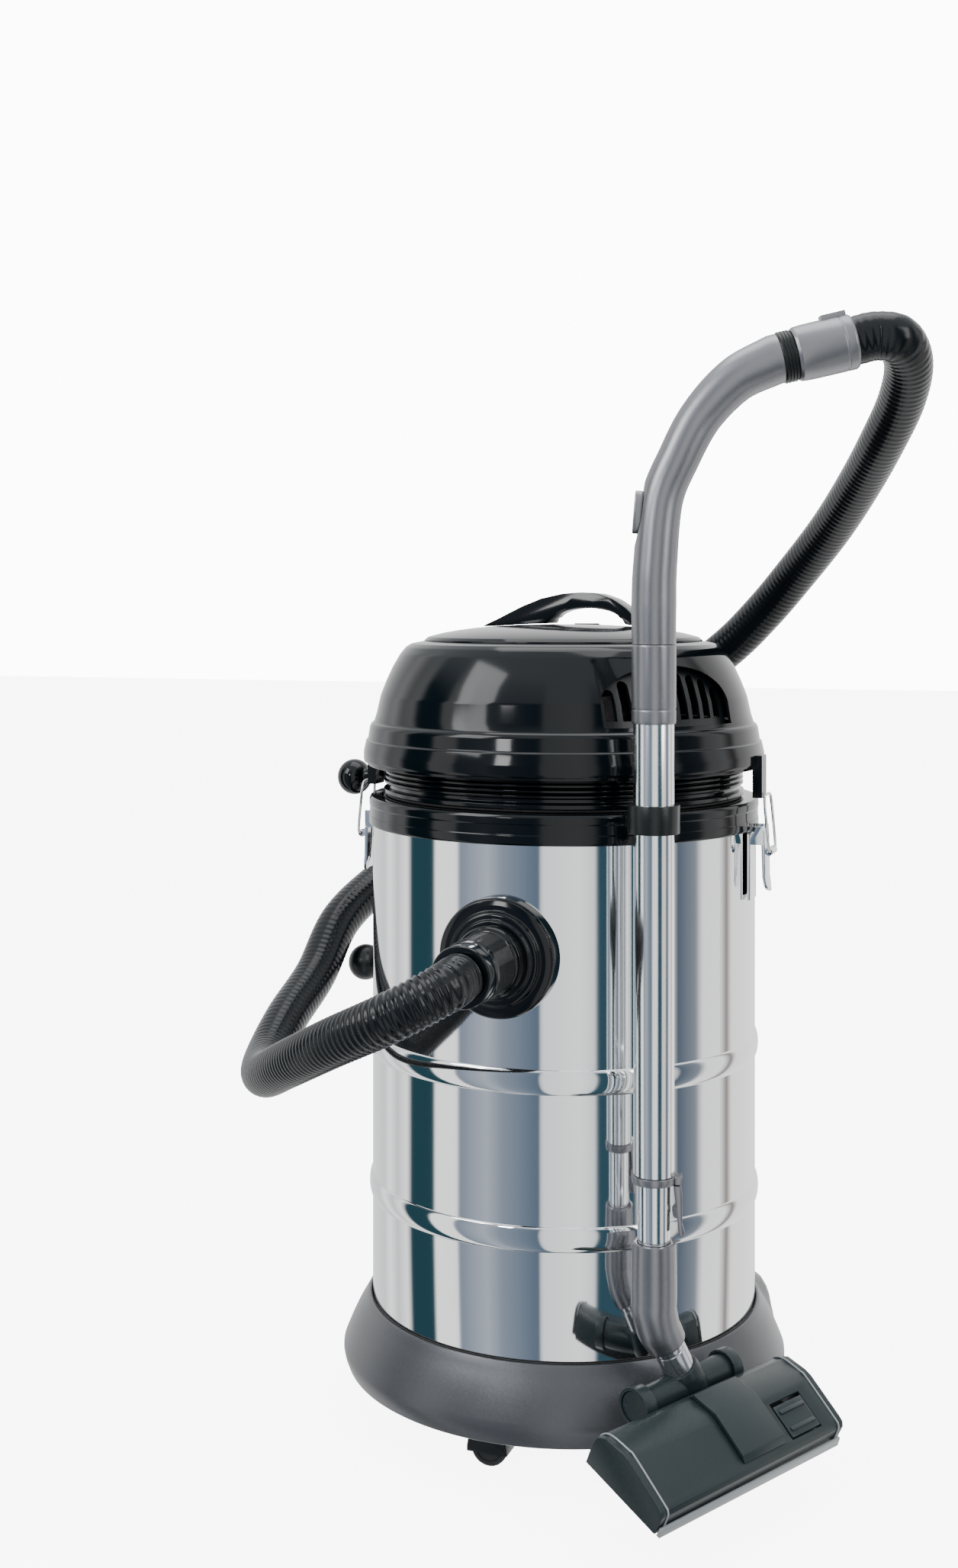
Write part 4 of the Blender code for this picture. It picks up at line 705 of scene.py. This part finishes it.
# Head -----------------------------------------------------------------------------------
DOME = (              # (radius, height) up the cover's outside, from its rim to the cap
    (0.1827, 0.5820), (0.1835, 0.5840), (0.1835, 0.5910), (0.1812, 0.6015), (0.1796, 0.6025),
    (0.1778, 0.6140), (0.1762, 0.6168), (0.1740, 0.6182), (0.1716, 0.6260), (0.1680, 0.6420),
    (0.1630, 0.6550), (0.1570, 0.6680), (0.1500, 0.6800), (0.1450, 0.6860), (0.1400, 0.6892),
    (0.1285, 0.6915),
)
VENT_TURN = Matrix.Rotation(math.radians(52), 4, "Z")
VENT_HALF = 0.068


def vent_outline(extra=0.0):
    half = VENT_HALF + extra
    top = arc((0, 0.640), (half, 0.033 + extra), 0, 180, 32)
    return [(-half, 0.622 - extra), (half, 0.622 - extra)] + top


def make_housing():
    outline = [(0.1500, 0.5538), (0.1650, 0.5538), (0.1650, 0.5575), (0.1605, 0.5590)]
    for low in (0.5620, 0.5665, 0.5710):
        outline += [(0.1605, low), (0.1645, low + 0.0012), (0.1645, low + 0.0032), (0.1603, low + 0.0042)]
    outline += [(0.1600, 0.5765), (0.1795, 0.5788), (0.1795, 0.5815), (0.0700, 0.5815), (0.0700, 0.5780),
                (0.1500, 0.5775)]
    lathe("head_lower_housing_fine", outline, "gloss_black", "head", "head_lower_housing", soft=0.0005)


def make_cover():
    outer = rounded(DOME, 0.0015, 4, closed=False)
    inner = [(radius - 0.0030, height - 0.0015) for radius, height in DOME[2:-1]]
    section = list(outer) + [(0.1285, 0.6885)] + inner[::-1] + [(0.1807, 0.5820)]
    cover = piece("head_cover_fine", turned_shape(section, ROUND), "gloss_black", "head", "head_cover",
                  matrix=AT_AXIS, sharp=26)
    for side in (1, -1):
        near, far = sorted((side * 0.1800, side * 0.1884))
        keeper = box_shape((near, -0.018, 0.5548), (far, 0.002, 0.5920))
        cut(cover, placed(keeper, AT_AXIS), "UNION")
    cut(cover, placed(prism_shape(vent_outline(), -0.22, -0.06), AT_AXIS @ VENT_TURN))
    bar = turned_shape(((0, 0.165), (0.0080, 0.165), (0.0080, 0.20), (0, 0.20)), 32)
    cut(cover, placed(bar, AT_GLAND))


def make_grille():
    skin = [(radius - 0.0075, height - 0.0015) for radius, height in DOME[4:-2]]
    back = [(radius - 0.0115, height - 0.0015) for radius, height in DOME[4:-2]]
    grille = piece("exhaust_grille_fine", turned_shape(skin + back[::-1], ROUND), "matte_black", "head",
                   "exhaust_grille", matrix=AT_AXIS, sharp=26)
    cut(grille, placed(prism_shape(vent_outline(0.0006), -0.22, -0.06), AT_AXIS @ VENT_TURN), "INTERSECT")
    for k in range(9):
        middle = (k - 4) * 0.0140
        top = 0.640 + 0.029 * math.sqrt(1 - (middle / 0.066) ** 2) - 0.002
        slot = [(middle - 0.0046, 0.627), (middle + 0.0046, 0.627)]
        slot += arc((middle, top - 0.0046), (0.0046, 0.0046), 0, 180, 10)
        cut(grille, placed(prism_shape(slot, -0.20, -0.06), AT_AXIS @ VENT_TURN))


def make_cap():
    cap = lathe("top_cap_fine", (
        (0.0, 0.6908), (0.1275, 0.6908), (0.1277, 0.6925), (0.1245, 0.6952), (0.1180, 0.6970),
        (0.110, 0.6990), (0.096, 0.7014), (0.080, 0.7035), (0.060, 0.7050), (0.040, 0.7060),
        (0.020, 0.7064), (0.0, 0.7065)),
        "gloss_black", "head", "top_cap", soft=0.0006)
    cut(cap, placed(box_shape((-0.0130, 0.0720, 0.6925), (0.0130, 0.0980, 0.72)), AT_AXIS))
    refined("power_switch", "matte_black", "switch", 0.0006)
    lathe("cord_gland_fine", (
        (0.0042, 0.170), (0.0075, 0.170), (0.0075, 0.1842), (0.0115, 0.1842), (0.0115, 0.1865),
        (0.0085, 0.1885), (0.0070, 0.1990), (0.0042, 0.1990)),
        "rubber", "head", "cord_gland", matrix=AT_GLAND, sides=40, soft=0.0003)


def make_carry_handle():
    outline = [
        (-0.0830, 0.7052), (-0.0700, 0.7110), (-0.0450, 0.7232), (-0.0260, 0.7305), (-0.0050, 0.7350),
        (0.0120, 0.7362), (0.0280, 0.7350), (0.0430, 0.7300), (0.0560, 0.7215), (0.0660, 0.7110),
        (0.0690, 0.7054), (0.0550, 0.7062), (0.0525, 0.7110)]
    outline += arc((0.0175, 0.7105), (0.0330, 0.0110), 12, 168, 20)
    outline += [(-0.0180, 0.7110), (-0.0195, 0.7072), (-0.0500, 0.7060), (-0.0830, 0.7041)]
    shape = prism_shape(rounded(outline, 0.0040, 3), 0.0145, 0.0455)
    bevelled(piece("carry_handle_fine", shape, "gloss_black", "head", "carry_handle", matrix=AT_AXIS),
             0.0028, 3, 50)


# Wand and handle --------------------------------------------------------------------------
HANDLE_PATH = (
    (0.133, -0.179, 0.6930), (0.133, -0.179, 0.725), (0.134, -0.179, 0.757), (0.139, -0.177, 0.809),
    (0.152, -0.173, 0.843), (0.169, -0.166, 0.877), (0.195, -0.157, 0.906), (0.224, -0.146, 0.922),
)
HANDLE_RADII = (0.0178, 0.0182, 0.0178, 0.0172, 0.0172, 0.0176, 0.0188, 0.0203)
CUFF_END = Vector((0.284, -0.124, 0.937))
CUFF_AXIS = (CUFF_END - Vector(HANDLE_PATH[-1])).normalized()


def make_wand():
    lathe("inner_tube_fine", tube(0.0121, 0.0133, 0.2006, 0.5600), "chrome", "base", "inner_tube",
          matrix=AT_WAND, sides=72, soft=0.0003)
    lathe("outer_tube_fine", tube(0.0153, 0.0165, 0.2665, 0.6400), "chrome", "handle", "outer_tube",
          matrix=AT_WAND, sides=72, soft=0.0003)
    refined("lock_ring", "grey_plastic", "handle", 0.0005)
    refined("lock_lever", "grey_plastic", "lock", 0.0006)
    refined("park_clip", "matte_black", "base", 0.0006)
    lathe("handle_sleeve_fine", (
        (0.0169, 0.6290), (0.0176, 0.6290), (0.0180, 0.6310), (0.0180, 0.6395), (0.0177, 0.6402),
        (0.0177, 0.6410), (0.0180, 0.6417), (0.0180, 0.6912), (0.0175, 0.6926), (0.0169, 0.6926)),
        "grey_plastic", "handle", "handle_sleeve", matrix=AT_WAND, sides=72, soft=0.0003)


def make_grip():
    path = smooth_path(HANDLE_PATH, 0.0030)[0]
    knots = [Vector(point) for point in HANDLE_PATH]
    stations = [0.0]
    for here, there in zip(knots, knots[1:]):
        stations.append(stations[-1] + (there - here).length)
    radii = []
    for k in range(len(path)):
        wanted = stations[-1] * k / (len(path) - 1)
        n = max(i for i in range(len(stations) - 1) if stations[i] <= wanted + 1e-9)
        share = (wanted - stations[n]) / (stations[n + 1] - stations[n])
        radii.append(HANDLE_RADII[n] * (1 - share) + HANDLE_RADII[n + 1] * share)
    path.append(path[-1] + CUFF_AXIS * 0.004)
    radii.append(radii[-1])
    end = path[-1]
    shape = swept_shape(path, lambda k: radii[k], 48)
    grip = piece("handle_grip_fine", shape, "grey_plastic", "handle", "handle_grip", matrix=AT_AXIS, sharp=40)
    seat = (AT_AXIS @ Matrix.Translation((0.1355, -0.1785, 0.799)) @ Matrix.Rotation(math.radians(5), 4, "Y")
            @ Matrix.Rotation(math.radians(107.5), 4, "Z"))
    room = arc((0, 0), (0.0092, 0.0250), 0, 180, 20) + arc((0, -0.003), (0.0092, 0.0250), 180, 360, 20)
    cut(grip, placed(prism_shape(room, 0.0120, 0.0300), seat))
    oval = arc((0, 0), (0.0085, 0.0165), 0, 180, 20) + arc((0, -0.002), (0.0085, 0.0165), 180, 360, 20)
    slide = piece("suction_slider_fine", prism_shape(oval, 0.0124, 0.0188), "grey_plastic", "slider",
                  "suction_slider", matrix=seat)
    bevelled(slide, 0.0010, 3, 50)
    at_end = aimed(AXIS + end, CUFF_AXIS)
    ribs = [(0, 0.0004), (0.0200, 0.0004)]
    for k in range(4):
        start = 0.0012 + k * 0.0026
        ribs += [(0.0204, start), (0.0212, start + 0.0005), (0.0212, start + 0.0015),
                 (0.0204, start + 0.0020)]
    lathe("ribbed_collar_fine", ribs + [(0.0200, 0.0120), (0, 0.0120)], "matte_black", "handle",
          "ribbed_collar", matrix=at_end, sides=72, soft=0.0002)
    reach = (CUFF_END - end).length - 0.0004
    cuff = lathe("hose_cuff_fine", (
        (0, 0.0124), (0.0208, 0.0124), (0.0222, 0.0150), (0.0227, 0.0220), (0.0228, 0.0300),
        (0.0228, reach - 0.0100), (0.0224, reach - 0.0094), (0.0224, reach - 0.0084),
        (0.0228, reach - 0.0078), (0.0228, reach - 0.002), (0.0218, reach), (0.0150, reach),
        (0.0150, 0.0400), (0, 0.0400)),
        "grey_plastic", "handle", "hose_cuff", matrix=at_end, sides=72, soft=0.0004)
    lift = (Vector((0, 0, 1)) - CUFF_AXIS * CUFF_AXIS.z).normalized()
    middle = AXIS + end + CUFF_AXIS * (reach - 0.012) + lift * 0.0235
    turn = Matrix((CUFF_AXIS, lift.cross(CUFF_AXIS), lift)).transposed().to_4x4()
    tab = box_shape((-0.0100, -0.0060, -0.0040), (0.0100, 0.0060, 0.0022))
    cut(cuff, placed(tab, Matrix.Translation(middle) @ turn), "UNION")


# Neck and floor nozzle ----------------------------------------------------------------------
NECK_BEND = Vector((0.133, -0.179, 0.150))


def nozzle_frame():
    """Matrix of the barrel's axis: x along the nozzle, y back along the sole, z off the sole."""
    heading, pitch = math.radians(63), math.radians(23)
    along = Vector((math.cos(heading), math.sin(heading), 0))
    back = Vector((-along.y, along.x, 0)) * math.cos(pitch) + Vector((0, 0, math.sin(pitch)))
    up = along.cross(back)
    turn = Matrix((along, back, up)).transposed().to_4x4()
    front = Vector((0.2143, -0.1993, 0.036))             # the middle of the sole's front edge
    return Matrix.Translation(AXIS + front + back * BARREL_BACK + up * BARREL_UP) @ turn


def make_neck():
    barrel = nozzle_frame()
    joint = barrel @ Vector((0.014, 0, 0)) - AXIS
    lean = (joint - NECK_BEND).normalized()
    foot = NECK_BEND + lean * 0.024
    knots = [Vector((0.133, -0.179, z)) for z in (0.2120, 0.2100, 0.2000, 0.1900, 0.1800, 0.1720, 0.1650)]
    knots += [NECK_BEND + Vector((0, 0, 0.008)), NECK_BEND + lean * 0.008, NECK_BEND + lean * 0.017, foot]
    path = smooth_path(knots, 0.0018)[0]
    reach = len(path) - 1

    def radius_at(k):
        share = k / reach
        worn = 0.0002 if abs(share - 0.30) < 0.012 else 0.0
        belly = 0.0008 * math.sin(math.pi * min(1.0, share * 1.15))
        taper = 0.0010 * max(0.0, share - 0.88) / 0.12
        return 0.0178 + belly - taper - worn

    neck = piece("wand_neck_fine", swept_shape(path, radius_at, 60), "grey_plastic", "base", "wand_neck",
                 matrix=AT_AXIS, sharp=40)
    bore = turned_shape(((0, 0.2000), (0.0138, 0.2000), (0.0138, 0.24), (0, 0.24)), 60)
    cut(neck, placed(bore, AT_WAND))
    bevelled(neck, 0.0008, 2, 45)
    span = (joint - foot).length
    track = aimed(AXIS + foot, lean)
    lathe("nozzle_elbow_fine", (
        (0, 0.0006), (0.0125, 0.0006), (0.01325, 0.0018), (0.01325, 0.0060), (0.0129, 0.0064),
        (0.0129, 0.0072), (0.01325, 0.0076), (0.01325, span - 0.002), (0, span - 0.002)),
        "chrome_plastic", "elbow", "nozzle_elbow", matrix=track, sides=72, soft=0.0003)
    lathe("elbow_barrel", (
        (0, -0.051), (0.0121, -0.051), (0.0125, -0.0506), (0.0125, 0.0656), (0.0121, 0.066), (0, 0.066)),
        "nozzle_dark", "elbow", matrix=barrel @ Matrix.Rotation(math.pi / 2, 4, "Y"), sides=72, soft=0.0003)
    lathe("elbow_hood", (
        (0.0134, span - 0.0190), (0.0150, span - 0.0185), (0.0166, span - 0.0120), (0.0172, span - 0.0040),
        (0.0165, span + 0.0050), (0.0134, span + 0.0050)), "nozzle_dark", "elbow", matrix=track, sides=72,
        soft=0.0006)


# Path of the painted highlight strand that runs along each end cap's seam with the shell
SEAM_HIGHLIGHT_PATH = (      # depth from the front edge and height off the sole, round the end caps' outside
    (-0.0010, 0.0060), (-0.0012, 0.0190), (0.0006, 0.0225), (0.0050, 0.0246), (0.0410, 0.0360),
    (0.0480, 0.0366), (0.0660, 0.0345), (0.0740, 0.0290), (0.0760, 0.0220),
)


def make_seam_highlights():
    """The painted highlight in the seam between each end cap and the shell: a pale strand laid where the gap
    catches light.
    """
    barrel = nozzle_frame()
    for word, across in (("left", -0.1048), ("right", 0.1048)):
        points = [barrel @ Vector((across, depth - BARREL_BACK, height - BARREL_UP))
                  for depth, height in SEAM_HIGHLIGHT_PATH]
        path = smooth_path(points, 0.0015)[0]
        # a thin pale strand that paints the light caught in the seam; it is not a part of the nozzle
        piece("seam_highlight_" + word, swept_shape(path, lambda k: 0.0008, 10), "light_grey", "nozzle")


def make_nozzle():
    refined("nozzle_shell", "nozzle_dark", "nozzle", 0.0008, 3)
    refined("nozzle_housing", "nozzle_dark", "nozzle", 0.0008, 3)
    refined("nozzle_end_cap_left", "nozzle_dark", "nozzle", 0.0010, 3)
    refined("nozzle_end_cap_right", "nozzle_dark", "nozzle", 0.0010, 3)
    refined("nozzle_bumper", "light_grey", "nozzle", 0.0006, 2)
    # painted highlights in the end caps' seams
    make_seam_highlights()
    refined("nozzle_sole", "matte_black", "nozzle", 0.0005, 2)
    refined("nozzle_pedal", "nozzle_dark", "pedal", 0.0008, 3)
    refined("brush_strip", "brush", "brush", 0.0004, 1)
    near, far = 0.0465, 0.0895                           # the pedal's window, along the nozzle
    deck = box_shape((near, 0.0040 - BARREL_BACK, 0.0125 - BARREL_UP),
                     (far, 0.0420 - BARREL_BACK, 0.0140 - BARREL_UP))
    well = piece("pedal_well", deck, "nozzle_dark", "nozzle", matrix=nozzle_frame())
    wall = box_shape((near, 0.0362 - BARREL_BACK, 0.0130 - BARREL_UP),
                     (far, 0.0378 - BARREL_BACK, 0.0315 - BARREL_UP))
    cut(well, placed(wall, nozzle_frame()), "UNION")


# Everything ---------------------------------------------------------------------------------
INSIDE = {
    "motor": "motor_metal", "bearing_lower": "chrome", "bearing_upper": "chrome",
    "fan_housing": "matte_black", "motor_shaft": "chrome", "fan_impeller": "motor_metal",
    "float_cage": "white_plastic", "float_ball": "light_grey", "cloth_filter": "filter_cloth",
    "filter_ring": "rubber",
}


def paint_inside():
    """The pieces inside the drum keep their CAD solids and take a material each."""
    for name, look in INSIDE.items():
        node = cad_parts[name]
        for place in node.material_slots:
            place.material = LOOKS[look]


make_camera()
make_floor()
make_world()
make_lights()
make_base()
make_wheels()
make_drum()
make_port()
make_latches()
make_hooks()
make_housing()
make_cover()
make_grille()
make_cap()
make_carry_handle()
make_wand()
make_grip()
make_neck()
make_nozzle()
make_hose()
paint_inside()
